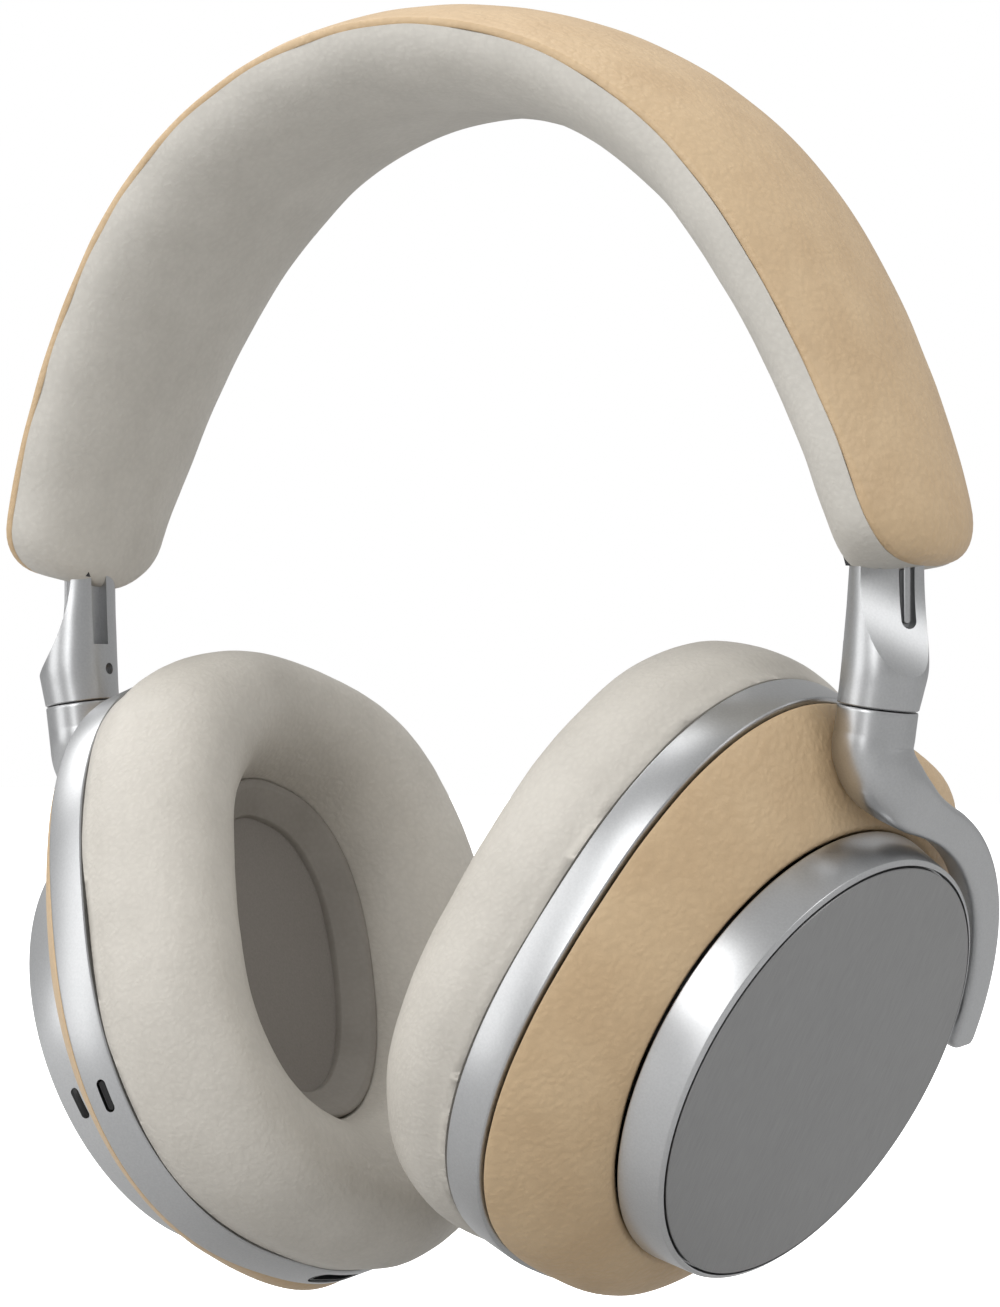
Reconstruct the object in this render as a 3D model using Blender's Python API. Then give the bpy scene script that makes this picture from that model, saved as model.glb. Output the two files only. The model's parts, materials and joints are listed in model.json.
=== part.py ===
"""Over-ear wireless headphones: a sprung, padded headband, two sliding arms, two swivelling
yokes and two oval ear cups that tilt in them.

Metres, +Z up, -Y is the wearer's front and +X the wearer's left. The origin is where the pad
under the crown of the headband rests on the head, so that everything else hangs below it.
"""

import math

import bmesh
import bpy
from mathutils import Matrix, Vector

# Headband: its middle curve is a circle stretched by even harmonics of the angle from the crown.
BAND_RADIUS = 0.0857
BAND_STRETCH = (0.01325, 0.00152, -0.00034)  # added as cos 2a, cos 4a, cos 6a
BAND_END_ANGLE = math.radians(73.5)
BAND_WIDTH_BASE = 0.0255
BAND_WIDTH_GAIN = 0.0250  # the width is the base plus this times cos(angle)
BAND_END_ROUND = 0.0090  # length over which each end closes to a tongue
BAND_BACK = 0.0040  # the band sits this far behind the swivel joints
BAND_STATIONS = 34
PAD_DEPTH = 0.0100
COVER_EDGE = 0.0014
COVER_CROWN = 0.0044
SPRING_WIDTH = 0.0090
SPRING_THICK = 0.0009
SPRING_ANGLE = math.radians(38)
SPRING_STEPS = 24
EDGE_SHARE = 0.45  # how deep the cover and the pad still are at the tips of the band

# Where the two arms swivel, seen from the middle of the band's curve.
BAND_CENTRE_DROP = 0.0020  # the curve's middle lies this far under the swivel joints
SWIVEL_X = 0.0685
SWIVEL_LEAN = math.radians(8.0)

# Sliding arms.
SLIDE_LEAN = math.radians(16.0)
SLIDE_X = 0.0680  # where the slide line crosses the level of the band's end
BAND_END_RISE = 0.0200  # that level, above the swivel joints
BLADE_WIDTH = 0.0090
BLADE_THICK = 0.0030
BLADE_LENGTH = 0.0300
GUIDE_WALL = 0.0010
GUIDE_RISE = 0.0007  # the guide starts this far inside the band's end
STOP_LENGTH = 0.0026
DETENT_SLOT = (0.0032, 0.0034, 0.0240)
DETENT_HIGH = 0.0150  # the middle of that slot along the blade
NECK_RADIUS = 0.0054
NECK_BACK = 0.0024  # the neck leans this far back by the band's end

# Yokes: a round shank that bends back into a flat arc behind the drum.
YOKE_PLANE_LEAN = math.radians(23.3)
PIVOT_OFFSET = Vector((-0.0157, 0.0070, -0.0474))  # from the swivel joint to the tilt pivot
PIVOT_RISE = 0.0035  # the pivot lies this far above the middle of the drum
ARC_RADIUS = 0.0437
ARC_CENTRE = (-0.0015, -0.0075)  # to the rear of the pivot and above it
ARC_RISE = 0.0018  # the arc's top stands this far outside the pivot
ARC_HALF_WIDTH = 0.0030
ARC_JOIN = 70.0  # degrees above level, where the bend meets the arc
ARC_END = 6.0  # degrees above level
SHANK_FLUSH = 1.6  # keeps the outer face of the shank in line as its section thins
ARC_HALF_THICK = 0.0024
PIVOT_PIN_RADIUS = 0.0014
SHAFT_RADIUS = 0.0020
SHAFT_REACH = (-0.0060, 0.0056)  # the swivel shaft's ends, along its axis
SCREW_HIGH = 0.0048  # the screw that holds the shaft, above the swivel joint

# Ear cups, in each cup's own frame: x outwards, y to the rear, z up, on the pivot axis.
PLATE_FACE = 0.0044
DRUM_BASE = -0.0030
RING_TOP = -0.0141
RING_BASE = -0.0204
CUSHION_DEPTH = 0.0186
CUSHION_TOP_GAIN = 0.06  # share that the cushion is deeper at its top, and shallower below
DRUM_BASE_RADIUS = 0.0353
DRUM_TOP_RADIUS = 0.0339
PLATE_RADIUS = 0.0330
OVAL_HALF_WIDTH = 0.0418
OVAL_HALF_HEIGHT = 0.0470
OVAL_POWER = 2.44
OVAL_CENTRE = (-0.0070, 0.0007)  # to the rear and up, along the turned axes
OVAL_TURN = math.radians(19.5)  # the oval's top leans to the rear
EAR_HALF_WIDTH = 0.0190
EAR_HALF_HEIGHT = 0.0270
RING_WALL = 0.0042
SHELL_WALL = 0.0016
SHELL_SWELL = 0.0030  # the shell rounds out past the ring before it draws in

# Controls in the trim ring: name, degrees round the oval from the rear, length.
BUTTONS = {
    "left": (("power_button", -24, 0.0080), ("quick_action_button", 4, 0.0070)),
    "right": (
        ("volume_up_button", 12, 0.0070),
        ("play_button", -6, 0.0070),
        ("volume_down_button", -24, 0.0070),
    ),
}
BUTTON_WIDTH = 0.0026
BUTTON_DEPTH = 0.0040
BUTTON_STAND = 0.0008
MIC_ANGLE = {"left": -52, "right": 213}
SOCKET_ANGLE = 284

GAP = 0.0003
ROUND = 44  # sides of an oval

SIDES = {
    "left": {"sign": 1, "swivel": math.radians(-7.0), "tilt": math.radians(2.4)},
    "right": {"sign": -1, "swivel": math.radians(2.0), "tilt": math.radians(-2.4)},
}
# The crown of the pad is at the origin, which sets the height of the swivel joints.
SWIVEL_Z = PAD_DEPTH + BAND_CENTRE_DROP - BAND_RADIUS - sum(BAND_STRETCH)


def clear_scene():
    for item in list(bpy.data.objects):
        bpy.data.objects.remove(item, do_unlink=True)


def material(name, colour, roughness, metallic=0.0):
    made = bpy.data.materials.new(name)
    made.use_nodes = True
    shader = made.node_tree.nodes["Principled BSDF"]
    shader.inputs["Base Color"].default_value = (*colour, 1.0)
    shader.inputs["Roughness"].default_value = roughness
    shader.inputs["Metallic"].default_value = metallic
    return made


def empty(name, parent, matrix):
    made = bpy.data.objects.new(name, None)
    made.empty_display_size = 0.01
    bpy.context.scene.collection.objects.link(made)
    made.parent = parent
    made.matrix_local = matrix
    return made


def solid(name, bm, finish, parent=None, sign=1, smooth=35.0):
    """One object from a mesh drawn for the +X side, mirrored in its own frame where sign is -1."""
    bmesh.ops.scale(bm, vec=(sign, 1, 1), verts=bm.verts)
    bmesh.ops.recalc_face_normals(bm, faces=bm.faces)
    mesh = bpy.data.meshes.new(name)
    bm.to_mesh(mesh)
    bm.free()
    mesh.shade_smooth()
    mesh.set_sharp_from_angle(angle=math.radians(smooth))
    made = bpy.data.objects.new(name, mesh)
    bpy.context.scene.collection.objects.link(made)
    made.parent = parent
    made.data.materials.append(finish)
    return made


def loft(rings, closed=False):
    """A skin over rings of equally many points. It ends in caps, or meets its start if closed."""
    bm = bmesh.new()
    rows = [[bm.verts.new(point) for point in ring] for ring in rings]
    pairs = list(zip(rows, rows[1:]))
    if closed:
        pairs.append((rows[-1], rows[0]))
    for low, high in pairs:
        for i in range(len(low)):
            j = (i + 1) % len(low)
            bm.faces.new((low[i], low[j], high[j], high[i]))
    if not closed:
        bm.faces.new(rows[0])
        bm.faces.new(rows[-1])
    return bm


def superellipse(angle, half_width, half_height, power):
    """A point of a rounded oval: first to the side, then up."""
    c, s = math.cos(angle), math.sin(angle)
    return (
        math.copysign(abs(c) ** (2 / power), c) * half_width,
        math.copysign(abs(s) ** (2 / power), s) * half_height,
    )


def turned(profile, sides=40, centre=(0.0, 0.0)):
    """A solid of revolution about a cup's x axis from (x, radius) points, with flat ends."""
    rings = []
    for x, radius in profile:
        ring = []
        for i in range(sides):
            angle = math.tau * i / sides
            y = centre[0] + radius * math.cos(angle)
            z = centre[1] + radius * math.sin(angle)
            ring.append(Vector((x, y, z)))
        rings.append(ring)
    return loft(rings)


def turned_ring(profile, sides=40):
    """A closed ring about a cup's x axis from a closed outline of (x, radius) points."""
    rings = []
    for i in range(sides):
        angle = math.tau * i / sides
        rings.append([Vector((x, r * math.cos(angle), r * math.sin(angle))) for x, r in profile])
    return loft(rings, closed=True)


def oval_point(x, angle, grow=0.0, half_width=OVAL_HALF_WIDTH, half_height=OVAL_HALF_HEIGHT):
    """A point of the cup's turned oval, moved outwards by grow."""
    side, up = superellipse(angle, half_width + grow, half_height + grow, OVAL_POWER)
    side += OVAL_CENTRE[0]
    up += OVAL_CENTRE[1]
    c, s = math.cos(OVAL_TURN), math.sin(OVAL_TURN)
    return Vector((x, side * c + up * s, up * c - side * s))


def oval_ring(profile, sides=ROUND, **sizes):
    """A closed ring along the oval from a closed outline of (x, grow) points."""
    rings = []
    for i in range(sides):
        angle = math.tau * i / sides
        rings.append([oval_point(x, angle, grow, **sizes) for x, grow in profile])
    return loft(rings, closed=True)


def oval_plate(low, high, sides=ROUND, **sizes):
    rings = [[oval_point(x, math.tau * i / sides, **sizes) for i in range(sides)] for x in (low, high)]
    return loft(rings)


def block(size, centre=(0, 0, 0), bevel=0.0, segments=2):
    bm = bmesh.new()
    bmesh.ops.create_cube(bm, size=1.0)
    bmesh.ops.scale(bm, vec=size, verts=bm.verts)
    if bevel:
        bmesh.ops.bevel(
            bm, geom=bm.edges[:], offset=bevel, segments=segments, profile=0.5, affect="EDGES"
        )
    bmesh.ops.translate(bm, vec=centre, verts=bm.verts)
    return bm


def pill(length, width, depth, segments=6):
    """A rounded bar: long along y, its flat faces across x."""
    rings = []
    for x in (-depth / 2, depth / 2):
        ring = []
        for end in (1, -1):
            for i in range(segments + 1):
                angle = math.pi * i / segments - math.pi / 2
                reach = (length - width) / 2 + math.cos(angle) * width / 2
                ring.append(Vector((x, end * reach, end * math.sin(angle) * width / 2)))
        rings.append(ring)
    return loft(rings)


def rod(start, end, radius, sides=16):
    """A round bar between two points."""
    along = (end - start).normalized()
    across = along.orthogonal().normalized()
    up = along.cross(across)
    rings = []
    for middle in (start, end):
        ring = []
        for i in range(sides):
            angle = math.tau * i / sides
            ring.append(middle + radius * (math.cos(angle) * across + math.sin(angle) * up))
        rings.append(ring)
    return loft(rings)


def cut(target, bm, name, matrix, sign=1):
    """Takes a shape out of an object. The matrix is in the object's own frame, +X side."""
    bmesh.ops.transform(bm, matrix=matrix, verts=bm.verts)
    bmesh.ops.scale(bm, vec=(sign, 1, 1), verts=bm.verts)
    bmesh.ops.recalc_face_normals(bm, faces=bm.faces)
    mesh = bpy.data.meshes.new(name)
    bm.to_mesh(mesh)
    bm.free()
    cutter = bpy.data.objects.new(name, mesh)
    bpy.context.scene.collection.objects.link(cutter)
    cutter.parent = target.parent
    cutter.hide_render = True
    cutter.display_type = "WIRE"
    modifier = target.modifiers.new(name, "BOOLEAN")
    modifier.operation = "DIFFERENCE"
    modifier.solver = "EXACT"
    modifier.object = cutter
    return cutter


# Headband ---------------------------------------------------------------------------------


def band_radius(angle):
    return BAND_RADIUS + sum(
        size * math.cos(2 * (k + 1) * angle) for k, size in enumerate(BAND_STRETCH)
    )


def band_point(angle):
    """The seam between cover and pad at this angle from the crown, to the +X side."""
    radius = band_radius(angle)
    centre = SWIVEL_Z - BAND_CENTRE_DROP
    return Vector((radius * math.sin(angle), BAND_BACK, centre + radius * math.cos(angle)))


def band_normal(angle):
    step = 1e-3
    along = band_point(angle + step) - band_point(angle - step)
    return Vector((-along.z, 0, along.x)).normalized()


def end_closing(angle, end_angle, length):
    """1 along the band, falling to 0 round each end's tongue."""
    left = (end_angle - abs(angle)) * band_radius(end_angle)
    if left >= length:
        return 1.0
    share = 1 - max(left, 0.0) / length
    return (1 - share**2.6) ** (1 / 2.6)


def band_angles(end_angle, stations):
    """Even steps along the band with closer ones at its ends."""
    last = end_angle - 0.02 * BAND_END_ROUND / BAND_RADIUS
    round_angle = BAND_END_ROUND / BAND_RADIUS
    middle = end_angle - round_angle
    angles = [middle * (2 * i / stations - 1) for i in range(stations + 1)]
    tips = [middle + (last - middle) * share for share in (0.35, 0.62, 0.82, 0.94, 1.0)]
    return [-a for a in reversed(tips)] + angles + tips


def band_width(angle):
    return BAND_WIDTH_BASE + BAND_WIDTH_GAIN * math.cos(angle)


def band_loft(section, end_angle=BAND_END_ANGLE, stations=BAND_STATIONS):
    """section(angle) gives (across, out) points, out being measured from the seam."""
    rings = []
    for angle in band_angles(end_angle, stations):
        middle, out = band_point(angle), band_normal(angle)
        rings.append([middle + out * n + Vector((0, y, 0)) for y, n in section(angle)])
    return loft(rings)


def cover_section(angle):
    closing = end_closing(angle, BAND_END_ANGLE, BAND_END_ROUND)
    half = band_width(angle) / 2 * closing
    points = [(-half, 0.0), (half, 0.0)]
    steps = 8
    for i in range(steps + 1):
        across = 1 - 2 * i / steps
        rise = COVER_EDGE + COVER_CROWN * closing**0.5 * (1 - abs(across) ** 2.2)
        points.append((half * across, rise * (EDGE_SHARE + (1 - EDGE_SHARE) * closing)))
    return points


def pad_section(angle):
    closing = end_closing(angle, BAND_END_ANGLE, BAND_END_ROUND)
    half = (band_width(angle) / 2 - 0.0002) * closing
    reach = abs(angle) - SPRING_ANGLE
    channel = SPRING_THICK + 2 * GAP if reach < 0.06 else 0.0
    lip = (SPRING_WIDTH / 2 + GAP) * closing
    points = [(half, -GAP), (lip, -GAP), (lip, -GAP - channel)]
    points += [(-lip, -GAP - channel), (-lip, -GAP), (-half, -GAP)]
    steps = 9
    depth = PAD_DEPTH * (EDGE_SHARE + (1 - EDGE_SHARE) * closing)
    for i in range(1, steps):
        angle_round = math.pi * i / steps
        across, down = superellipse(angle_round, half, depth - GAP, 2.1)
        points.append((-across, -GAP - down))
    return points


def spring_section(angle):
    low = -GAP - SPRING_THICK - GAP * 0.7
    half = SPRING_WIDTH / 2
    return [(-half, low), (half, low), (half, low + SPRING_THICK), (-half, low + SPRING_THICK)]


def slide_matrix(sign):
    """The frame of a sliding arm: its origin at the band's end, z up along the slide."""
    turn = Matrix.Rotation(-SLIDE_LEAN * sign, 4, "Y")
    return Matrix.Translation((sign * SLIDE_X, NECK_BACK, SWIVEL_Z + BAND_END_RISE)) @ turn


def make_headband(finishes):
    """The cover, the pad and the spring between them. It returns the pad, to be cut."""
    solid("headband_cover", band_loft(cover_section), finishes["leather"], smooth=50)
    pad = solid("headband_pad", band_loft(pad_section), finishes["pad"], smooth=50)
    spring = []
    for i in range(SPRING_STEPS + 1):
        angle = SPRING_ANGLE * (2 * i / SPRING_STEPS - 1)
        middle, out = band_point(angle), band_normal(angle)
        spring.append([middle + out * n + Vector((0, y, 0)) for y, n in spring_section(angle)])
    solid("spring_band", loft(spring), finishes["steel"])
    return pad


def make_slider_guides(pad, root, finishes):
    """A sleeve in each band end that the arm's blade slides in, and the stop at its top."""
    length = BLADE_LENGTH + 0.004
    inner = (BLADE_THICK + 2 * GAP, BLADE_WIDTH + 2 * GAP)
    outer = (inner[0] + 2 * GUIDE_WALL, inner[1] + 2 * GUIDE_WALL)
    middle = Vector((0, 0, length / 2 + GUIDE_RISE))
    stop_at = Vector((0, 0, length + GUIDE_RISE + STOP_LENGTH / 2 + GAP))
    for side, data in SIDES.items():
        world = slide_matrix(data["sign"])
        frame = empty(f"guide_frame_{side}", root, world)
        guide = solid(
            f"slider_guide_{side}", block((*outer, length), middle), finishes["dark_plastic"], frame
        )
        way = block((*inner, length + 0.004))
        cut(guide, way, f"blade_way_{side}", Matrix.Translation(middle))
        stop = block((BLADE_THICK, BLADE_WIDTH, STOP_LENGTH), stop_at, 0.0004)
        solid(f"slide_stop_{side}", stop, finishes["dark_plastic"], frame)
        # The pocket runs out of the band's end, so that the arm can slide into it.
        pocket_top = length + GUIDE_RISE + STOP_LENGTH + 2 * GAP
        pocket_base = -0.0100
        pocket = block(
            (outer[0] + 2 * GAP, outer[1] + 2 * GAP, pocket_top - pocket_base),
            (0, 0, (pocket_top + pocket_base) / 2),
        )
        cut(pad, pocket, f"guide_pocket_{side}", world)


# Arms -------------------------------------------------------------------------------------


def swivel_axis(sign):
    """Points up along the axis that a yoke swivels on; the arms lean in as they go down."""
    return Vector((sign * math.sin(SWIVEL_LEAN), 0, math.cos(SWIVEL_LEAN)))


def swivel_matrix(side):
    data = SIDES[side]
    sign = data["sign"]
    place = Matrix.Translation((sign * SWIVEL_X, 0, SWIVEL_Z))
    return place @ Matrix.Rotation(sign * data["swivel"], 4, swivel_axis(sign))


def arm_stations():
    """(height above the swivel joint, middle x, half thickness, half width, power), going up."""
    lean = math.tan(SWIVEL_LEAN)
    return (
        (0.0003, 0.0, NECK_RADIUS, NECK_RADIUS, 2.0),
        (0.0030, 0.0030 * lean, NECK_RADIUS + 0.0001, NECK_RADIUS + 0.0001, 2.0),
        (0.0070, 0.0080 * lean, NECK_RADIUS + 0.0003, NECK_RADIUS + 0.0003, 2.2),
        (0.0100, 0.0007, NECK_RADIUS - 0.0004, NECK_RADIUS + 0.0003, 2.4),
        (0.0140, 0.0006, NECK_RADIUS - 0.0012, NECK_RADIUS + 0.0001, 2.8),
        (0.0176, 0.0003, NECK_RADIUS - 0.0018, NECK_RADIUS - 0.0002, 3.2),
    )


def make_arm(side, frame, finishes):
    sign = SIDES[side]["sign"]
    sides = 20
    rings = []
    into = slide_matrix(1).inverted()
    for height, middle, half_thick, half_width, power in arm_stations():
        ring = []
        for i in range(sides):
            x, y = superellipse(math.tau * i / sides, half_thick, half_width, power)
            tilt = -x * math.tan(SWIVEL_LEAN) * (1 if height < 0.002 else 0.4)
            back = NECK_BACK * height / BAND_END_RISE
            at = Vector((SWIVEL_X + middle + x, y + back, SWIVEL_Z + height + tilt))
            ring.append(into @ at)
        rings.append(ring)
    blade = []
    for z in (0.0001, BLADE_LENGTH):
        ring = []
        for i in range(sides):
            x, y = superellipse(math.tau * i / sides, BLADE_THICK / 2, BLADE_WIDTH / 2, 6.0)
            ring.append(Vector((x, y, z)))
        blade.append(ring)
    arm = solid(f"slider_arm_{side}", loft(rings + blade), finishes["satin"], frame, sign, 30)
    slot_at = Vector((0, 0, DETENT_HIGH))
    cut(arm, block(DETENT_SLOT), f"detent_slot_{side}", Matrix.Translation(slot_at), sign)
    window = block((0.0040, 0.0026, 0.0110))
    cut(arm, window, f"neck_slot_{side}", Matrix.Translation((-0.0040, 0.0, -0.0050)), sign)
    joint = into @ Matrix.Translation((SWIVEL_X, 0, SWIVEL_Z)) @ Matrix.Rotation(SWIVEL_LEAN, 4, "Y")
    bore = rod(Vector((0, 0, -0.004)), Vector((0, 0, SHAFT_REACH[1] + 2 * GAP)), SHAFT_RADIUS + GAP)
    cut(arm, bore, f"swivel_bore_{side}", joint, sign)
    dimple = rod(Vector((-0.0080, 0, SCREW_HIGH)), Vector((-0.0040, 0, SCREW_HIGH)), 0.0012, 12)
    cut(arm, dimple, f"screw_bore_{side}", joint, sign)
    screw = rod(Vector((-0.0051, 0, SCREW_HIGH)), Vector((-0.0043, 0, SCREW_HIGH)), 0.0009, 12)
    bmesh.ops.transform(screw, matrix=joint, verts=screw.verts)
    solid(f"arm_screw_{side}", screw, finishes["steel"], frame, sign)
    strip = tuple(size - 2 * GAP for size in DETENT_SLOT)
    insert = block(strip, slot_at, 0.0003)
    solid(f"detent_spring_{side}", insert, finishes["slot"], frame, sign)


# Yokes ------------------------------------------------------------------------------------


def yoke_plane():
    """The arc's own axes in the swivel frame, drawn for +X: outwards, to the rear, and up."""
    c, s = math.cos(YOKE_PLANE_LEAN), math.sin(YOKE_PLANE_LEAN)
    return Vector((c, 0, -s)), Vector((0, 1, 0)), Vector((s, 0, c))


def bezier(points, share):
    while len(points) > 1:
        points = [a.lerp(b, share) for a, b in zip(points, points[1:])]
    return points[0]


def yoke_path():
    """(point, half width, half thickness, power) down the shank, round the bend and the arc."""
    out, back, up = yoke_plane()
    axis = swivel_axis(1)
    start = -GAP * axis
    shank_end = -0.0060 * axis

    def arc(degrees):
        angle = math.radians(degrees)
        rear = ARC_CENTRE[0] + ARC_RADIUS * math.cos(angle)
        high = ARC_CENTRE[1] + ARC_RADIUS * math.sin(angle)
        return PIVOT_OFFSET + rear * back + high * up + ARC_RISE * math.sin(angle) * out

    join = arc(ARC_JOIN)
    tangent = (arc(ARC_JOIN + 1) - join).normalized()
    bend = [shank_end, shank_end - 0.0058 * axis, join + 0.0090 * tangent, join]
    path = [start, shank_end * 0.6] + [bezier(bend, i / 6) for i in range(7)]
    path += [arc(ARC_JOIN + (ARC_END + 6 - ARC_JOIN) * i / 7) for i in range(1, 8)]
    path += [arc(ARC_END + 2), arc(ARC_END)]
    count = len(path)
    stations = []
    for i, point in enumerate(path):
        share = min(max((i - 1.5) / 5, 0.0), 1.0)
        half_width = NECK_RADIUS + (ARC_HALF_WIDTH - NECK_RADIUS) * share
        half_thick = NECK_RADIUS + (ARC_HALF_THICK - NECK_RADIUS) * min(SHANK_FLUSH * share, 1.0)
        point = point + out * (NECK_RADIUS - half_thick) * SHANK_FLUSH * (1 - share)
        if i >= count - 3:
            half_width += 0.0004
        if i == count - 1:
            half_width *= 0.55
        stations.append((point, half_width, half_thick, 2.0 + 2.0 * share))
    return stations


def make_yoke(side, frame, finishes):
    sign = SIDES[side]["sign"]
    out = yoke_plane()[0]
    stations = yoke_path()
    rings = []
    sides = 16
    for i, (point, half_width, half_thick, power) in enumerate(stations):
        before, after = stations[max(i - 1, 0)][0], stations[min(i + 1, len(stations) - 1)][0]
        along = (after - before).normalized() if i else -swivel_axis(1)
        thick = (out - along * out.dot(along)).normalized()
        wide = along.cross(thick)
        ring = []
        for k in range(sides):
            a, b = superellipse(math.tau * k / sides, half_width, half_thick, power)
            ring.append(point + wide * a + thick * b)
        rings.append(ring)
    yoke = solid(f"yoke_arm_{side}", loft(rings), finishes["satin"], frame, sign, 35)
    lean = Matrix.Rotation(SWIVEL_LEAN, 4, "Y")
    socket = rod(Vector((0, 0, SHAFT_REACH[0] - 0.0005)), Vector((0, 0, 0.002)), SHAFT_RADIUS + GAP)
    cut(yoke, socket, f"shaft_bore_{side}", lean, sign)
    reach = ARC_CENTRE[0] + ARC_RADIUS + 0.0010
    pivot = Matrix.Translation(PIVOT_OFFSET) @ Matrix.Rotation(YOKE_PLANE_LEAN, 4, "Y")
    far = Vector((0, reach + GAP, 0))
    pin_bore = rod(Vector((0, DRUM_BASE_RADIUS, 0)), far, PIVOT_PIN_RADIUS + GAP)
    cut(yoke, pin_bore, f"pin_bore_{side}", pivot, sign)
    pin = rod(Vector((0, DRUM_TOP_RADIUS - 0.0036, 0)), Vector((0, reach, 0)), PIVOT_PIN_RADIUS)
    bmesh.ops.transform(pin, matrix=pivot, verts=pin.verts)
    solid(f"pivot_pin_{side}", pin, finishes["steel"], frame, sign)
    shaft = rod(Vector((0, 0, SHAFT_REACH[0])), Vector((0, 0, SHAFT_REACH[1])), SHAFT_RADIUS)
    bmesh.ops.transform(shaft, matrix=lean, verts=shaft.verts)
    solid(f"swivel_shaft_{side}", shaft, finishes["steel"], frame, sign)


# Ear cups ---------------------------------------------------------------------------------


def shell_point(share, angle, inset=0.0):
    """The leather shell from the oval ring (0) to the round drum (1)."""
    oval = oval_point(0.0, angle, -0.0006 - inset)
    direction = math.atan2(oval.z, oval.y)
    radius = DRUM_BASE_RADIUS + 0.0007 - inset
    circle = Vector((0.0, radius * math.cos(direction), radius * math.sin(direction)))
    below = 0.5 - 0.5 * math.sin(direction)
    point = oval.lerp(circle, share ** (1.15 + 0.35 * below))
    swell = SHELL_SWELL * below * math.sin(math.pi * share) * (1 - share)
    point += Vector((0.0, swell * math.cos(direction), swell * math.sin(direction)))
    rise = 1 - (1 - share) ** (1.15 + 0.35 * below)
    point.x = RING_TOP + 0.0004 + (DRUM_BASE - 0.0006 - RING_TOP) * rise
    return point


def make_shell(side, frame, finishes):
    sign = SIDES[side]["sign"]
    steps = 4
    rings = []
    for i in range(ROUND):
        angle = math.tau * i / ROUND
        outer = [shell_point(k / steps, angle) for k in range(steps + 1)]
        inner = [shell_point(k / steps, angle, SHELL_WALL) for k in range(steps + 1)]
        for k, point in enumerate(inner):
            point.x -= 0.0006 * k / steps
        rings.append(outer + inner[::-1])
    solid(f"rear_shell_{side}", loft(rings, closed=True), finishes["leather"], frame, sign, 60)


def make_trim_ring(side, frame, finishes):
    chamfer = 0.0006
    profile = (
        (RING_BASE, -chamfer),
        (RING_BASE + chamfer, 0.0),
        (RING_TOP - chamfer, 0.0),
        (RING_TOP, -chamfer),
        (RING_TOP, -RING_WALL),
        (RING_BASE, -RING_WALL),
    )
    sign = SIDES[side]["sign"]
    return solid(f"trim_ring_{side}", oval_ring(profile), finishes["satin"], frame, sign)


def make_drum(side, frame, finishes):
    sign = SIDES[side]["sign"]
    lip = 0.0009
    profile = (
        (DRUM_BASE, DRUM_BASE_RADIUS),
        (PLATE_FACE - lip, DRUM_TOP_RADIUS + 0.0002),
        (PLATE_FACE - 0.0001, PLATE_RADIUS + GAP),
        (PLATE_FACE - 0.0016, PLATE_RADIUS + GAP),
        (PLATE_FACE - 0.0016, PLATE_RADIUS - 0.0020),
        (DRUM_BASE, PLATE_RADIUS - 0.0020),
    )
    drum = solid(f"end_cap_{side}", turned_ring(profile), finishes["satin"], frame, sign)
    high = PIVOT_RISE
    wall_bore = rod(Vector((0, 0.029, high)), Vector((0, 0.038, high)), 0.0024)
    cut(drum, wall_bore, f"bush_seat_{side}", Matrix.Identity(4), sign)
    bush = rod(Vector((0, 0.0306, high)), Vector((0, 0.0341, high)), 0.0021)
    bushing = solid(f"pivot_bush_{side}", bush, finishes["dark_plastic"], frame, sign)
    way = rod(Vector((0, 0.028, high)), Vector((0, 0.038, high)), PIVOT_PIN_RADIUS + GAP)
    cut(bushing, way, f"bush_way_{side}", Matrix.Identity(4), sign)
    plate = turned([(PLATE_FACE - 0.0012, PLATE_RADIUS), (PLATE_FACE, PLATE_RADIUS)], 40)
    solid(f"end_plate_{side}", plate, finishes["plate"], frame, sign)


def cushion_section(outer, inner, depth, steps=9):
    """A rounded cushion section between its outer and its inner edge."""
    base = RING_BASE - GAP
    middle = (outer + inner) / 2
    half = (outer - inner) / 2
    points = [inner, outer]
    for i in range(1, steps):
        turn = math.pi * i / steps
        c, s = math.cos(turn), math.sin(turn)
        across = math.copysign(abs(c) ** (2 / 2.6), c)
        down = abs(s) ** (2 / 2.3)
        point = middle + half * across
        point.x = base - depth * down
        points.append(point)
    return points


def make_cushion(side, frame, finishes):
    sign = SIDES[side]["sign"]
    rings = []
    for i in range(ROUND):
        angle = math.tau * i / ROUND
        outer = oval_point(RING_BASE - GAP, angle, 0.0010)
        inner = oval_point(
            RING_BASE - GAP, angle, half_width=EAR_HALF_WIDTH, half_height=EAR_HALF_HEIGHT
        )
        depth = CUSHION_DEPTH * (1 + CUSHION_TOP_GAIN * math.sin(angle))
        rings.append(cushion_section(outer, inner, depth))
    solid(f"cushion_{side}", loft(rings, closed=True), finishes["cushion"], frame, sign, 60)


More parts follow.
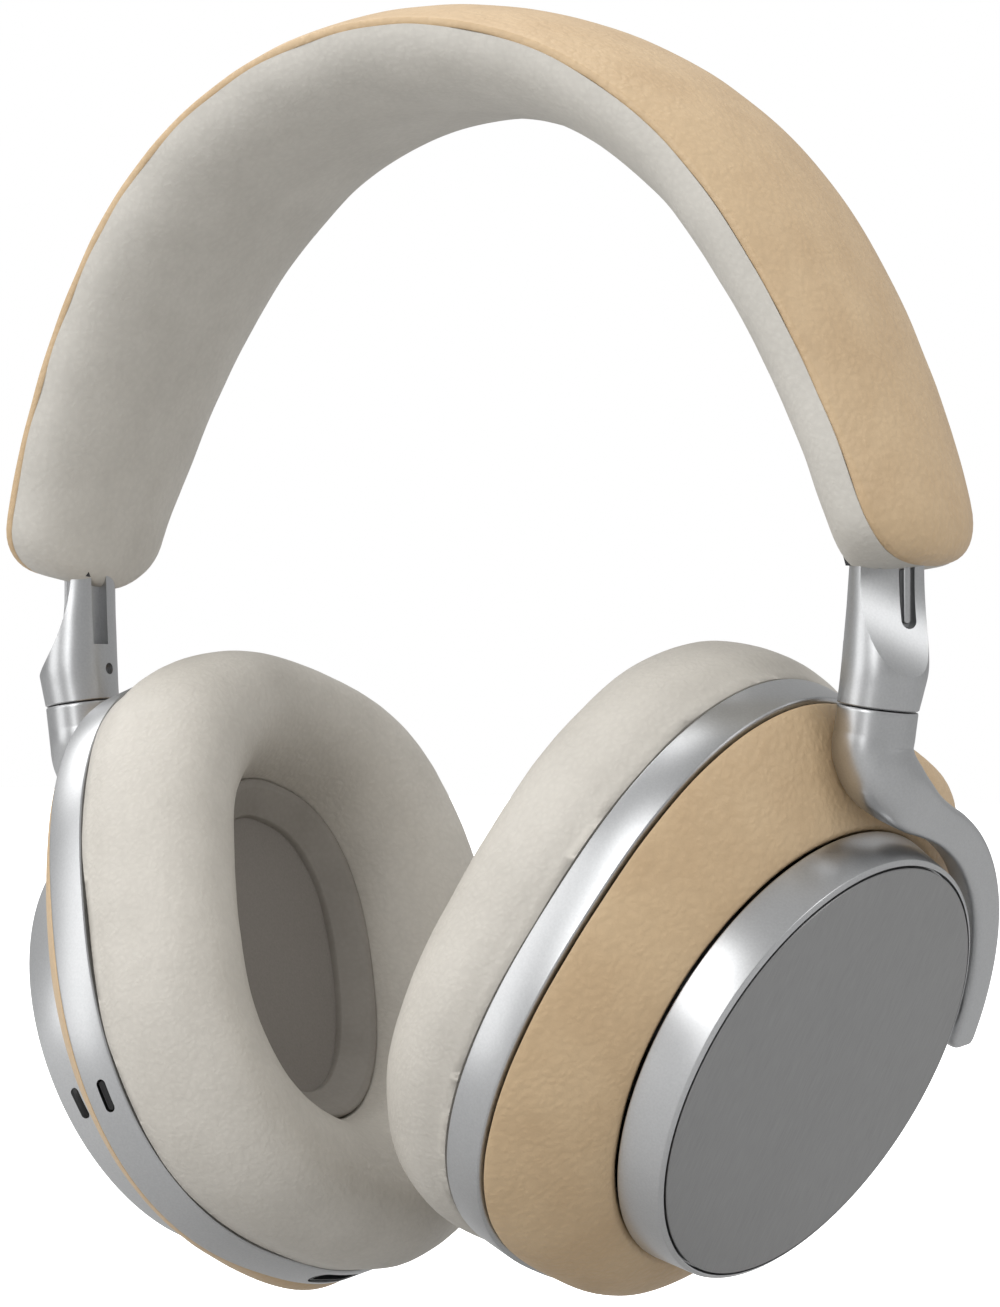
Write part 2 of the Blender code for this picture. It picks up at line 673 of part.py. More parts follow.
def make_inside(side, frame, finishes):
    """The baffle with its driver, the cloth over it, the cushion's frame, the board and battery."""
    sign = SIDES[side]["sign"]
    wall = RING_WALL + GAP
    centre = oval_point(0.0, 0.0, half_width=0.0, half_height=0.0)
    middle = (centre.y, centre.z)
    baffle_low, baffle_high = RING_BASE + 0.0006, RING_BASE + 0.0026
    plate = oval_plate(
        baffle_low,
        baffle_high,
        half_width=OVAL_HALF_WIDTH - wall,
        half_height=OVAL_HALF_HEIGHT - wall,
    )
    baffle = solid(f"baffle_{side}", plate, finishes["dark_plastic"], frame, sign)
    window = turned([(baffle_low - 0.002, 0.0168), (baffle_high + 0.002, 0.0168)], 28, middle)
    cut(baffle, window, f"driver_window_{side}", Matrix.Identity(4), sign)
    cloth_high = baffle_low - GAP
    cloth = oval_plate(
        cloth_high - 0.0006,
        cloth_high,
        half_width=EAR_HALF_WIDTH - 0.0012,
        half_height=EAR_HALF_HEIGHT - 0.0012,
    )
    solid(f"ear_cloth_{side}", cloth, finishes["cloth"], frame, sign)
    magnet = [
        (baffle_high + GAP, 0.0190),
        (baffle_high + 0.0020, 0.0190),
        (baffle_high + 0.0024, 0.0125),
        (baffle_high + 0.0070, 0.0110),
    ]
    solid(f"driver_basket_{side}", turned(magnet, 28, middle), finishes["steel"], frame, sign)
    cone = [(baffle_low + 0.0004, 0.0060), (baffle_high - 0.0004, 0.0162), (baffle_high, 0.0162)]
    solid(f"driver_cone_{side}", turned(cone, 28, middle), finishes["cone"], frame, sign)
    board = turned([(-0.0062, 0.0250), (-0.0050, 0.0250)], 24)
    solid(f"circuit_board_{side}", board, finishes["board"], frame, sign)
    if side == "left":
        cell = block((0.0046, 0.0300, 0.0200), (-0.0021, 0, 0), 0.0010)
        solid("battery", cell, finishes["battery"], frame, sign)
    else:
        radio = block((0.0024, 0.0140, 0.0140), (-0.0032, 0, 0), 0.0004)
        solid("radio_module", radio, finishes["steel"], frame, sign)


def on_ring(angle, x, grow=0.0):
    """A frame on the trim ring: x out of its side, y along its edge."""
    step = 0.01
    at = oval_point(x, angle, grow)
    along = (oval_point(x, angle + step) - oval_point(x, angle - step)).normalized()
    face = along.cross(Vector((1, 0, 0)))
    if face.dot(at - oval_point(x, 0, half_width=0, half_height=0)) < 0:
        face.negate()
    across = face.cross(along)
    turn = Matrix((face, along, across)).transposed().to_4x4()
    return Matrix.Translation(at) @ turn


def fit_in_ring(ring, name, frame, finish, sign, degrees, size, stand):
    """A rounded bar that sits in its own cut-out of the trim ring. size is its length, width, depth."""
    length, width, depth = size
    place = on_ring(math.radians(degrees), (RING_TOP + RING_BASE) / 2)
    hole = pill(length + 2 * GAP, width + 2 * GAP, 0.012)
    cut(ring, hole, f"{name}_hole", place, sign)
    bar = pill(length, width, depth)
    seat = place @ Matrix.Translation((stand - depth / 2, 0, 0))
    bmesh.ops.transform(bar, matrix=seat, verts=bar.verts)
    return solid(name, bar, finish, frame, sign)


def make_controls(side, ring, frame, finishes):
    sign = SIDES[side]["sign"]
    for name, degrees, length in BUTTONS[side]:
        size = (length, BUTTON_WIDTH, BUTTON_DEPTH)
        fit_in_ring(ring, name, frame, finishes["satin"], sign, degrees, size, BUTTON_STAND)
    size = (0.0044, 0.0010, 0.0030)
    name = f"ring_microphone_{side}"
    fit_in_ring(ring, name, frame, finishes["slot"], sign, MIC_ANGLE[side], size, -GAP)
    if side == "right":
        size = (0.0094, 0.0034, 0.0040)
        name = "charging_socket"
        socket = fit_in_ring(ring, name, frame, finishes["slot"], sign, SOCKET_ANGLE, size, -GAP)
        place = on_ring(math.radians(SOCKET_ANGLE), (RING_TOP + RING_BASE) / 2)
        cut(socket, pill(0.0084, 0.0024, 0.0060), "socket_mouth", place, sign)


def make_cup(side, frame, finishes):
    ring = make_trim_ring(side, frame, finishes)
    make_shell(side, frame, finishes)
    make_drum(side, frame, finishes)
    make_cushion(side, frame, finishes)
    make_inside(side, frame, finishes)
    make_controls(side, ring, frame, finishes)


def main():
    clear_scene()
    finishes = {
        "leather": material("Tan leather", (0.565, 0.400, 0.250), 0.45),
        "pad": material("Greige headband leather", (0.400, 0.384, 0.353), 0.55),
        "cushion": material("Greige cushion leather", (0.520, 0.490, 0.450), 0.5),
        "satin": material("Satin aluminium", (0.60, 0.60, 0.61), 0.28, 1.0),
        "plate": material("Brushed aluminium", (0.30, 0.30, 0.30), 0.35, 1.0),
        "steel": material("Spring steel", (0.45, 0.45, 0.46), 0.3, 1.0),
        "cloth": material("Ear cloth", (0.170, 0.155, 0.140), 0.9),
        "slot": material("Black plastic", (0.03, 0.03, 0.03), 0.6),
        "dark_plastic": material("Dark moulded plastic", (0.05, 0.05, 0.055), 0.5),
        "cone": material("Driver cone", (0.08, 0.08, 0.09), 0.4),
        "board": material("Circuit board", (0.02, 0.12, 0.06), 0.5),
        "battery": material("Battery wrap", (0.10, 0.10, 0.12), 0.5),
    }
    root = empty("headband", None, Matrix.Identity(4))
    make_slider_guides(make_headband(finishes), root, finishes)
    for side, data in SIDES.items():
        sign = data["sign"]
        slider = empty(f"slider_frame_{side}", root, slide_matrix(sign))
        make_arm(side, slider, finishes)
        yoke = empty(f"yoke_frame_{side}", root, swivel_matrix(side))
        make_yoke(side, yoke, finishes)
        at = Matrix.Translation((sign * PIVOT_OFFSET.x, PIVOT_OFFSET.y, PIVOT_OFFSET.z))
        tilt = Matrix.Rotation(sign * (YOKE_PLANE_LEAN + data["tilt"]), 4, "Y")
        cup = empty(f"cup_frame_{side}", yoke, at @ tilt)
        centre = empty(f"cup_centre_{side}", cup, Matrix.Translation((0, 0, -PIVOT_RISE)))
        make_cup(side, centre, finishes)


main()
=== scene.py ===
"""The looks of a pair of over-ear wireless headphones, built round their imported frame.

Metres, +Z up, -Y is the wearer's front and +X the wearer's left. Every piece sits at the origin
with its place in its mesh. Pieces of a cup are drawn in the cup's own axes: x out of its plate,
y to the rear, z up, from the middle of the drum.
"""

import json
import math

import bmesh
import bpy
from mathutils import Matrix, Vector, noise


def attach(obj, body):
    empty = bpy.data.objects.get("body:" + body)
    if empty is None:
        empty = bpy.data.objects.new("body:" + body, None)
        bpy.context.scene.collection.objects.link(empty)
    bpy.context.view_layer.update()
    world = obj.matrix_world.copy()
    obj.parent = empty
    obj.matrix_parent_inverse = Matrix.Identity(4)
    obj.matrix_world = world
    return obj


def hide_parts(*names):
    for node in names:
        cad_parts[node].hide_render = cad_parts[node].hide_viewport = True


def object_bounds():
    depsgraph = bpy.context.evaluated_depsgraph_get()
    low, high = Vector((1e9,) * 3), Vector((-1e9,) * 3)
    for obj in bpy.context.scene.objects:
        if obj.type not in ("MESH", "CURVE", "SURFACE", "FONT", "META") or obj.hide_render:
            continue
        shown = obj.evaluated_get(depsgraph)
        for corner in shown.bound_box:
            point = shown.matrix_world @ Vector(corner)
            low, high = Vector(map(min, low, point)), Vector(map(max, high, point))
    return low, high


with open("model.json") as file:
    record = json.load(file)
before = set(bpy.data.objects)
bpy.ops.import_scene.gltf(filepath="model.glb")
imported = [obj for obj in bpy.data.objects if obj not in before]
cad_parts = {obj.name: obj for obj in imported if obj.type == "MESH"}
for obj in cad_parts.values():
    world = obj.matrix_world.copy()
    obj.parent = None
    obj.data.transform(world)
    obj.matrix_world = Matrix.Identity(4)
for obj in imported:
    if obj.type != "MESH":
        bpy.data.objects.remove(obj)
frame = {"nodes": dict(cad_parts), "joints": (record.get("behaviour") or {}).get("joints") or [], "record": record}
CAD_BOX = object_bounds()
JOINTS = {joint["name"]: joint for joint in frame["joints"]}
MOUNTS = {mount["name"]: mount for mount in frame["record"]["mounts"]}

MM = 0.001
GAP = 0.3 * MM  # clearance between neighbouring parts
MERGE = 0.001 * MM  # closer corners than this are one
SIGN = {"left": 1, "right": -1}

# Headband: the frame's own driving sizes, but for the flare and what shapes the leather.
SWIVEL_Z = JOINTS["swivel_left"]["pos_m"][2]
BAND_RADIUS = 85.7 * MM
BAND_STRETCH = (13.25 * MM, 1.52 * MM, -0.34 * MM)  # added as cos 2a, cos 4a, cos 6a
BAND_FLARE = 1.9 * MM  # the ends open out by this much more
BAND_FLARE_FROM = math.radians(38)
BAND_FLARE_OVER = math.radians(34)
BAND_END_ANGLE = math.radians(73.5)
BAND_WIDTH = (25.5 * MM, 25.0 * MM)  # the base, and the gain times cos(angle)
BAND_BACK = 4.0 * MM
BAND_CENTRE_DROP = 2.0 * MM
TONGUE = 9.0 * MM  # length over which each end closes
TONGUE_POWER = 2.6
TIP_SHARE = 0.45  # the share of the cover's thickness left at the tip, and then of the pad's
PAD_TIP_SHARE = 0.85
COVER_EDGE = 1.4 * MM
COVER_CROWN = 4.4 * MM
PAD_DEPTH = 10.0 * MM
PAD_TUCK = 0.15 * MM  # the pad's edge is drawn up against the cover's by this much

# Arms and yokes.
SWIVEL_X = JOINTS["swivel_left"]["pos_m"][0]
SWIVEL_LEAN = math.radians(8.0)
SLIDE_LEAN = math.radians(16.0)
SLIDE_X = 68.0 * MM
BAND_END_RISE = 20.0 * MM
BLADE = (3.0 * MM, 9.0 * MM, 30.0 * MM)
BLADE_ROOM = 0.4 * MM  # how much wider than the blade its pocket in the pad is
NECK_RADIUS = 5.75 * MM
NECK_BACK = 2.4 * MM
YOKE_TURN = {"left": math.radians(-7.0), "right": math.radians(2.0)}
YOKE_LEAN = math.radians(23.3)
JOINT_GAP = 0.12 * MM
NECK_TOP_BACK = 0.9 * MM  # the neck's middle is this far behind the joint at the band
FACE_TURN = math.radians(42)  # the arm's cut face looks outwards and this far to the front
FACE_SLANT = math.radians(25)  # and runs lower towards the rear
FACE_OUT = 2.75 * MM  # how far out of the neck's middle it is at the height below
FACE_HEIGHT = 20.0 * MM
FACE_RADIUS = 24.0 * MM  # it is ground hollow
GROOVE_ALONG = 2.8 * MM
GROOVE = (18.0 * MM, 2.4 * MM, 3.0 * MM)  # length, width and depth, and so for what follows
BAR = (16.6 * MM, 1.1 * MM, 1.6 * MM, 0.3 * MM)  # and its edge's rounding
SLOT_TURN = math.radians(155.6)  # the cable slot looks inwards
SLOT_HEIGHT = 15.4 * MM
SLOT_OUT = 4.6 * MM
SLOT = (5.0 * MM, 12.0 * MM, 2.8 * MM)
SCREW_HEIGHT = 4.8 * MM
SCREW_HOLE_RADIUS = 0.9 * MM
PIVOT_OFFSET = Vector((-15.7, 7.0, -47.4)) * MM  # from the swivel to the cup's tilt joint
PIVOT_RISE = 3.5 * MM  # how far that joint lies over the drum's middle
ARC_RADIUS = 43.7 * MM  # of the yoke's bow round the drum
ARC_CENTRE = (-1.5 * MM, -7.5 * MM)  # to the rear of the tilt joint and over it
ARC_RISE = 1.8 * MM  # the bow stands out by this much more at its top
ARC_HALF = (3.0 * MM, 2.4 * MM)  # half of its width and of its thickness
ARC_JOIN = 70.0  # degrees from the rear at which the bend under the arm meets it
ARC_END = 6.0  # degrees at which it ends
SHANK_FLUSH = 1.6  # the shank thins this much sooner than it narrows, and shifts outwards in step
SHANK_EASE = (1.8, 5.6)  # the row of the shank where it begins to flatten, and over how many

# Ear cups.
PLATE_FACE = 4.4 * MM
DRUM_BASE = -3.0 * MM
RING_TOP = -14.1 * MM
RING_BASE = -20.4 * MM
RING_MIDDLE = (RING_TOP + RING_BASE) / 2
RING_WALL = 4.2 * MM
CUSHION_DEPTH = 18.6 * MM
CUSHION_TOP_GAIN = 0.06
CUSHION_TUCK = 1.5 * MM  # how far its cover is drawn in at the ring
CUSHION_TUCK_SHARE = 0.18  # and over what share of its depth
DRUM_RADIUS = (35.3 * MM, 33.9 * MM)  # at its base and its top
PLATE_RADIUS = 33.0 * MM
OVAL = (41.8 * MM, 47.0 * MM)
OVAL_POWER = 2.44
OVAL_CENTRE = (-7.0 * MM, 0.7 * MM)
OVAL_TURN = math.radians(19.5)
EAR = (19.0 * MM, 27.0 * MM)
EAR_RISE = 2.2 * MM  # the opening sits this much higher than the cushion's middle
SHELL_WALL = 1.6 * MM
SHELL_SWELL = 3.0 * MM  # its bulge underneath, of which a little over half is reached
SHELL_SWELL_SPREAD = 0.6  # radians round the drum, as is the shoulder's
SHELL_SHOULDER = {"left": 6.0 * MM, "right": 0.6 * MM}  # how far it bulges at its upper rear
SHELL_SHOULDER_AT = 0.76  # radians from the rear towards the top
SHELL_SHOULDER_SPREAD = 0.4
# Name, degrees round the leaning oval from its rear towards its top, length in mm.
BUTTONS = {
    "left": (("power_button", -24, 8.0), ("quick_action_button", 4, 7.0)),
    "right": (
        ("volume_up_button", 12, 7.0),
        ("play_button", -6, 7.0),
        ("volume_down_button", -24, 7.0),
    ),
}
KEY_HEIGHT = 2.6 * MM
KEY_DEPTH = 4.0 * MM
KEY_EDGE = 0.35 * MM
KEY_INSET = 1.2 * MM
HOLE_DEPTH = 12.0 * MM  # longer than the ring's wall is thick
MIC_ANGLE = {"left": -52, "right": 213}  # degrees, as for the buttons
MIC_SLOT = (5.0 * MM, 1.6 * MM)
SOCKET_ANGLE = 284
SOCKET_SLOT = (10.0 * MM, 4.0 * MM)
DRUM_MIC_ANGLE = math.radians(195)
DRUM_MIC_RISE = 0.2 * MM
DRUM_MIC_SLOT = (5.0 * MM, 1.5 * MM, 3.0 * MM)
CLOTH_BASE = 0.4 * MM  # the ear cloth's back lies this far under the ring's base
CLOTH_THICK = 0.9 * MM
CLOTH_RIM_RISE = 0.5 * MM  # and it is thicker by this much at its rim


# Making pieces -----------------------------------------------------------------------------


def piece(name, bm, finish, body, replaces=()):
    """An object from a mesh in the row frame, which rides on a body and may stand for CAD nodes."""
    mesh = bpy.data.meshes.new(name)
    bm.to_mesh(mesh)
    bm.free()
    mesh.shade_smooth()
    made = bpy.data.objects.new(name, mesh)
    bpy.context.scene.collection.objects.link(made)
    made.data.materials.append(finish)
    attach(made, body)
    if replaces:
        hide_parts(*replaces)
    return made


def bent_grid(across, along, place, capped=False):
    """A grid with each corner moved to place(u, v), u and v from 0 to 1, its meeting edges joined."""
    bm = bmesh.new()
    bmesh.ops.create_grid(bm, x_segments=across, y_segments=along, size=0.5)
    for vert in bm.verts:
        vert.co = place(vert.co.x + 0.5, vert.co.y + 0.5)
    bmesh.ops.remove_doubles(bm, verts=bm.verts[:], dist=MERGE)
    if capped:
        rims = [edge for edge in bm.edges if edge.is_boundary]
        bmesh.ops.holes_fill(bm, edges=rims, sides=0)
    bmesh.ops.recalc_face_normals(bm, faces=bm.faces[:])
    return bm


def placed(bm, matrix):
    """Moves a mesh, and turns its faces the right way where the matrix mirrors it."""
    bmesh.ops.transform(bm, matrix=matrix, verts=bm.verts[:])
    bmesh.ops.recalc_face_normals(bm, faces=bm.faces[:])
    return bm


def turned(outline, steps=160):
    """A solid of revolution about x from (x, radius) points, whose ends may lie on the axis."""
    bm = bmesh.new()
    points = [bm.verts.new((x, radius, 0.0)) for x, radius in outline]
    edges = [bm.edges.new(pair) for pair in zip(points, points[1:])]
    if min(radius for _, radius in outline) > MERGE:
        edges.append(bm.edges.new((points[-1], points[0])))
    bmesh.ops.spin(
        bm, geom=points + edges, cent=(0, 0, 0), axis=(1, 0, 0), angle=math.tau, steps=steps, use_merge=True
    )
    bmesh.ops.remove_doubles(bm, verts=bm.verts[:], dist=MERGE)
    bmesh.ops.recalc_face_normals(bm, faces=bm.faces[:])
    return bm


def rounded(corners, steps=4):
    """A closed outline from (a, b, radius) corners, each turned into an arc of that radius."""
    outline = []
    count = len(corners)
    for i, (a, b, radius) in enumerate(corners):
        here = Vector((a, b))
        back = (Vector(corners[i - 1][:2]) - here).normalized()
        ahead = (Vector(corners[(i + 1) % count][:2]) - here).normalized()
        if radius == 0:
            outline.append(here)
            continue
        half = back.angle(ahead) / 2
        reach = radius / math.tan(half)
        start, end = here + back * reach, here + ahead * reach
        for k in range(steps + 1):
            share = k / steps
            outline.append(start.lerp(here, share).lerp(here.lerp(end, share), share))
    return outline


def pill(length, width, depth, bevel=0.0, segments=12):
    """A rounded bar, long along y, its flat faces across x, and the edges of the face towards +x rounded when a
    bevel is given.
    """
    bm = bmesh.new()
    bmesh.ops.create_circle(bm, cap_ends=True, segments=4 * segments, radius=width / 2)
    for vert in bm.verts:
        end = math.copysign((length - width) / 2, vert.co.y)
        vert.co = Vector((-depth / 2, vert.co.y + end, vert.co.x))
    grown = bmesh.ops.extrude_face_region(bm, geom=bm.faces[:])
    lifted = [item for item in grown["geom"] if isinstance(item, bmesh.types.BMVert)]
    bmesh.ops.translate(bm, vec=(depth, 0, 0), verts=lifted)
    bmesh.ops.recalc_face_normals(bm, faces=bm.faces[:])
    if bevel:
        rims = [edge for edge in bm.edges if all(v.co.x > 0 for v in edge.verts)]
        bmesh.ops.bevel(
            bm, geom=rims, offset=bevel, segments=3, profile=0.5, affect="EDGES", material=-1
        )
    return bm


def block(size, centre=(0, 0, 0)):
    """A box of this size in x, y and z."""
    bm = bmesh.new()
    bmesh.ops.create_cube(bm, size=1.0)
    bmesh.ops.scale(bm, vec=size, verts=bm.verts[:])
    bmesh.ops.translate(bm, vec=centre, verts=bm.verts[:])
    return bm


def rod(start, end, radius, segments=32):
    """A round bar from one point to another."""
    bm = bmesh.new()
    along = end - start
    bmesh.ops.create_cone(
        bm, cap_ends=True, segments=segments, radius1=radius, radius2=radius, depth=along.length
    )
    turn = along.to_track_quat("Z", "Y").to_matrix().to_4x4()
    return placed(bm, Matrix.Translation((start + end) / 2) @ turn)


def cut(made, *shapes):
    """Takes closed shapes, in the row frame, out of a piece."""
    for shape in shapes:
        mesh = bpy.data.meshes.new("cutter")
        bmesh.ops.recalc_face_normals(shape, faces=shape.faces[:])
        shape.to_mesh(mesh)
        shape.free()
        cutter = bpy.data.objects.new("cutter", mesh)
        bpy.context.scene.collection.objects.link(cutter)
        modifier = made.modifiers.new("cut", "BOOLEAN")
        modifier.operation = "DIFFERENCE"
        modifier.solver = "EXACT"
        modifier.object = cutter
        finished = result_of(made)
        made.modifiers.clear()
        made.data = finished
        bpy.data.objects.remove(cutter)
    made.data.shade_smooth()
    made.data.set_sharp_from_angle(angle=math.radians(32))


def result_of(made):
    """The mesh that an object's modifiers make."""
    bpy.context.view_layer.update()
    graph = bpy.context.evaluated_depsgraph_get()
    return bpy.data.meshes.new_from_object(made.evaluated_get(graph))


def crumple(made, size, depth, seed):
    """Moves each corner along its normal by smooth noise of that size, as on soft leather."""
    bm = bmesh.new()
    bm.from_mesh(made.data)
    bm.normal_update()
    moves = []
    for vert in bm.verts:
        at = vert.co / size + Vector((seed, 0, 0))
        moves.append(vert.normal * depth * noise.noise(at))
    for vert, move in zip(bm.verts, moves):
        vert.co += move
    bm.to_mesh(made.data)
    bm.free()


def superellipse(angle, half_width, half_height, power):
    """A point on an oval that grows squarer as its power rises over 2."""
    c, s = math.cos(angle), math.sin(angle)
    return (
        math.copysign(abs(c) ** (2 / power), c) * half_width,
        math.copysign(abs(s) ** (2 / power), s) * half_height,
    )


def lip(u, power):
    """Round a thin closed section: its place across from 1 to -1 and back, its lift, and its side."""
    way = 1 - 4 * u if u <= 0.5 else 4 * u - 3
    across = math.sin(way * math.pi / 2)
    lift = max(1 - abs(across) ** power, 0.0) ** (1 / power)
    return across, lift, u <= 0.5


# Materials ---------------------------------------------------------------------------------


def linear(hex_colour):
    """An sRGB hex colour as linear RGBA."""
    parts = [int(hex_colour[i : i + 2], 16) / 255 for i in (0, 2, 4)]
    return tuple(c / 12.92 if c <= 0.04045 else ((c + 0.055) / 1.055) ** 2.4 for c in parts) + (1.0,)


def add(tree, kind, settings=None, links=None):
    """Adds a node. Settings are its sockets' values or its own properties; links feed its sockets."""
    node = tree.nodes.new(kind)
    for name, value in (settings or {}).items():
        if isinstance(name, str) and hasattr(node, name):
            setattr(node, name, value)
        else:
            node.inputs[name].default_value = value
    for name, source in (links or {}).items():
        tree.links.new(source, node.inputs[name])
    return node


def new_finish(name, **values):
    """A material with its node tree and its shader, whose constant sockets are set here."""
    made = bpy.data.materials.new(name)
    made.use_nodes = True
    shader = made.node_tree.nodes["Principled BSDF"]
    for key, value in values.items():
        shader.inputs[key.replace("_", " ").title().replace("Ior", "IOR")].default_value = value
    return made, made.node_tree, shader


def leather(name, light, dark, grain, depth, roughness, coat=0.0):
    """Full-grain leather: cells of the grain with creases between them, over a soft mottle, the creases darkened a
    little as painted shade.
    """
    made, tree, shader = new_finish(name, roughness=roughness, ior=1.48, coat_weight=coat)
    shader.inputs["Coat Roughness"].default_value = 0.35
    place = add(tree, "ShaderNodeTexCoord").outputs["Object"]
    warp = add(tree, "ShaderNodeTexNoise", {"Scale": 0.35 / grain, "Detail": 2.0}, {"Vector": place})
    bent = add(
        tree, "ShaderNodeMixRGB", {"blend_type": "LINEAR_LIGHT", "Fac": grain * 0.9},
        {"Color1": place, "Color2": warp.outputs["Color"]},
    )
    cells = add(
        tree, "ShaderNodeTexVoronoi", {"feature": "SMOOTH_F1", "Scale": 1 / grain, "Smoothness": 0.6},
        {"Vector": bent.outputs["Color"]},
    )
    fine = add(tree, "ShaderNodeTexNoise", {"Scale": 3 / grain, "Detail": 4.0}, {"Vector": place})
    height = add(
        tree, "ShaderNodeMath", {"operation": "MULTIPLY_ADD", 1: -0.35},
        {0: fine.outputs["Fac"], 2: cells.outputs["Distance"]},
    )
    bump = add(
        tree, "ShaderNodeBump", {"Strength": 0.55, "Distance": depth, "invert": True},
        {"Height": height.outputs["Value"]},
    )
    mottle = add(tree, "ShaderNodeTexNoise", {"Scale": 90.0, "Detail": 5.0}, {"Vector": place})
    ramp = add(
        tree, "ShaderNodeMapRange", {"From Min": 0.35, "From Max": 0.65},
        {"Value": mottle.outputs["Fac"]},
    )
    mix = add(
        tree, "ShaderNodeMixRGB", {"Color1": linear(dark), "Color2": linear(light)},
        {"Fac": ramp.outputs["Result"]},
    )
    # Painted shade: the colour is darkened by up to 7 per cent in the grain's creases.
    crease_shade = add(
        tree, "ShaderNodeMapRange", {"From Max": 0.8, "To Min": 1.0, "To Max": 0.93},
        {"Value": cells.outputs["Distance"]},
    )
    shade = add(
        tree, "ShaderNodeMixRGB", {"blend_type": "MULTIPLY", "Fac": 1.0},
        {"Color1": mix.outputs["Color"], "Color2": crease_shade.outputs["Result"]},
    )
    gloss = add(
        tree, "ShaderNodeMapRange", {"To Min": roughness - 0.07, "To Max": roughness + 0.07},
        {"Value": fine.outputs["Fac"]},
    )
    tree.links.new(shade.outputs["Color"], shader.inputs["Base Color"])
    tree.links.new(gloss.outputs["Result"], shader.inputs["Roughness"])
    tree.links.new(bump.outputs["Normal"], shader.inputs["Normal"])
    return made


def aluminium(name, light, dark, roughness, stretch, depth):
    """Anodised aluminium: the tooth of its blasting or the hairlines of its brushing."""
    made, tree, shader = new_finish(name, metallic=1.0, roughness=roughness)
    place = add(tree, "ShaderNodeTexCoord").outputs["Object"]
    lines = add(tree, "ShaderNodeMapping", {"Scale": stretch}, {"Vector": place})
    tooth = add(
        tree, "ShaderNodeTexNoise", {"Scale": 1.0, "Detail": 3.0}, {"Vector": lines.outputs["Vector"]}
    )
    broad = add(tree, "ShaderNodeTexNoise", {"Scale": 60.0, "Detail": 2.0}, {"Vector": place})
    tone = add(
        tree, "ShaderNodeMapRange", {"From Min": 0.3, "From Max": 0.7}, {"Value": tooth.outputs["Fac"]}
    )
    mix = add(
        tree, "ShaderNodeMixRGB", {"Color1": linear(dark), "Color2": linear(light)},
        {"Fac": tone.outputs["Result"]},
    )
    gloss = add(
        tree, "ShaderNodeMapRange", {"To Min": roughness - 0.04, "To Max": roughness + 0.04},
        {"Value": broad.outputs["Fac"]},
    )
    bump = add(
        tree, "ShaderNodeBump", {"Strength": 0.3, "Distance": depth}, {"Height": tooth.outputs["Fac"]}
    )
    tree.links.new(mix.outputs["Color"], shader.inputs["Base Color"])
    tree.links.new(gloss.outputs["Result"], shader.inputs["Roughness"])
    tree.links.new(bump.outputs["Normal"], shader.inputs["Normal"])
    return made


def moulded(name, light, dark, roughness, grain, depth, **values):
    """A part with one body colour, such as plastic, cloth or a wrap, and a fine even texture."""
    made, tree, shader = new_finish(name, roughness=roughness, **values)
    place = add(tree, "ShaderNodeTexCoord").outputs["Object"]
    tooth = add(tree, "ShaderNodeTexNoise", {"Scale": 1 / grain, "Detail": 3.0}, {"Vector": place})
    mix = add(
        tree, "ShaderNodeMixRGB", {"Color1": linear(dark), "Color2": linear(light)},
        {"Fac": tooth.outputs["Fac"]},
    )
    bump = add(
        tree, "ShaderNodeBump", {"Strength": 0.4, "Distance": depth}, {"Height": tooth.outputs["Fac"]}
    )
    tree.links.new(mix.outputs["Color"], shader.inputs["Base Color"])
    tree.links.new(bump.outputs["Normal"], shader.inputs["Normal"])
    return made


def make_finishes():
    return {
        # Dyed nappa on the outside of the band and the cups: a low even sheen on fine creases.
        "tan": leather("Tan nappa leather", "d0b590", "c8ac87", 1.1 * MM, 0.24 * MM, 0.46),
        # Softer, uncoated leather where the head rests: matt and nearly flat.
        "pad": leather("Greige headband leather", "d0ccc4", "c8c4bc", 0.9 * MM, 0.12 * MM, 0.58),
        # Foam-backed protein leather on the cushions: a pebble grain with a soft highlight.
        "cushion": leather("Greige cushion leather", "c9c4bb", "c2bdb4", 0.8 * MM, 0.14 * MM, 0.52),
        # The same leather's lining inside the opening, painted darker as the shade that falls inside the opening.
        "shaded_liner": leather("Greige lining leather in painted shade", "98938c", "8f8a83", 0.8 * MM, 0.06 * MM, 0.6),
        # Bead-blasted and anodised: broad soft highlights with no direction.
        "satin": aluminium(
            "Satin anodised aluminium", "c9cacb", "c1c2c3", 0.33, (3000, 3000, 3000), 0.004 * MM
        ),
        # The same metal turned smooth on the drum's side.
        "lathe": aluminium("Turned aluminium", "d8d9da", "d0d1d2", 0.33, (3000, 3000, 3000), 0.003 * MM),
        # Linished plate: hairlines one way, which spread its highlight across them.
        "plate": aluminium("Brushed aluminium", "a8a8a8", "9c9c9c", 0.4, (300, 9000, 300), 0.01 * MM),
        # Strip, pressings, screws and shafts: darker than the aluminium and a little sharper.
        "steel": aluminium("Spring steel", "9a9a9c", "8c8c8e", 0.3, (2500, 2500, 2500), 0.004 * MM),
        # Unpainted mouldings: near black, with a dull sheen off a fine tooth.
        "dark": moulded("Moulded black ABS", "26262a", "1f1f22", 0.5, 0.4 * MM, 0.02 * MM),
        # Inside small openings: blacker than the ABS, as painted shade so that they look deep.
        "slot": moulded("Black polycarbonate in painted shade", "131314", "0c0c0d", 0.42, 0.4 * MM, 0.01 * MM),
        # Soft and without gloss, with a tooth coarse enough to show.
        "cloth": moulded("Knitted acoustic cloth", "8f8a84", "7d7873", 0.92, 0.35 * MM, 0.12 * MM),
        # Lacquered paper: a soft highlight over its fibres.
        "cone": moulded("Coated paper cone", "2c2c30", "232326", 0.4, 0.5 * MM, 0.02 * MM),
        # Resin over copper: deep green with an even half gloss.
        "board": moulded("Green solder mask", "14532c", "0f4424", 0.45, 0.8 * MM, 0.02 * MM),
        # Thin heat-shrunk film: charcoal, and the glossiest of the plastics.
        "wrap": moulded("Battery shrink wrap", "33363b", "2c2f34", 0.35, 1.2 * MM, 0.02 * MM),
    }


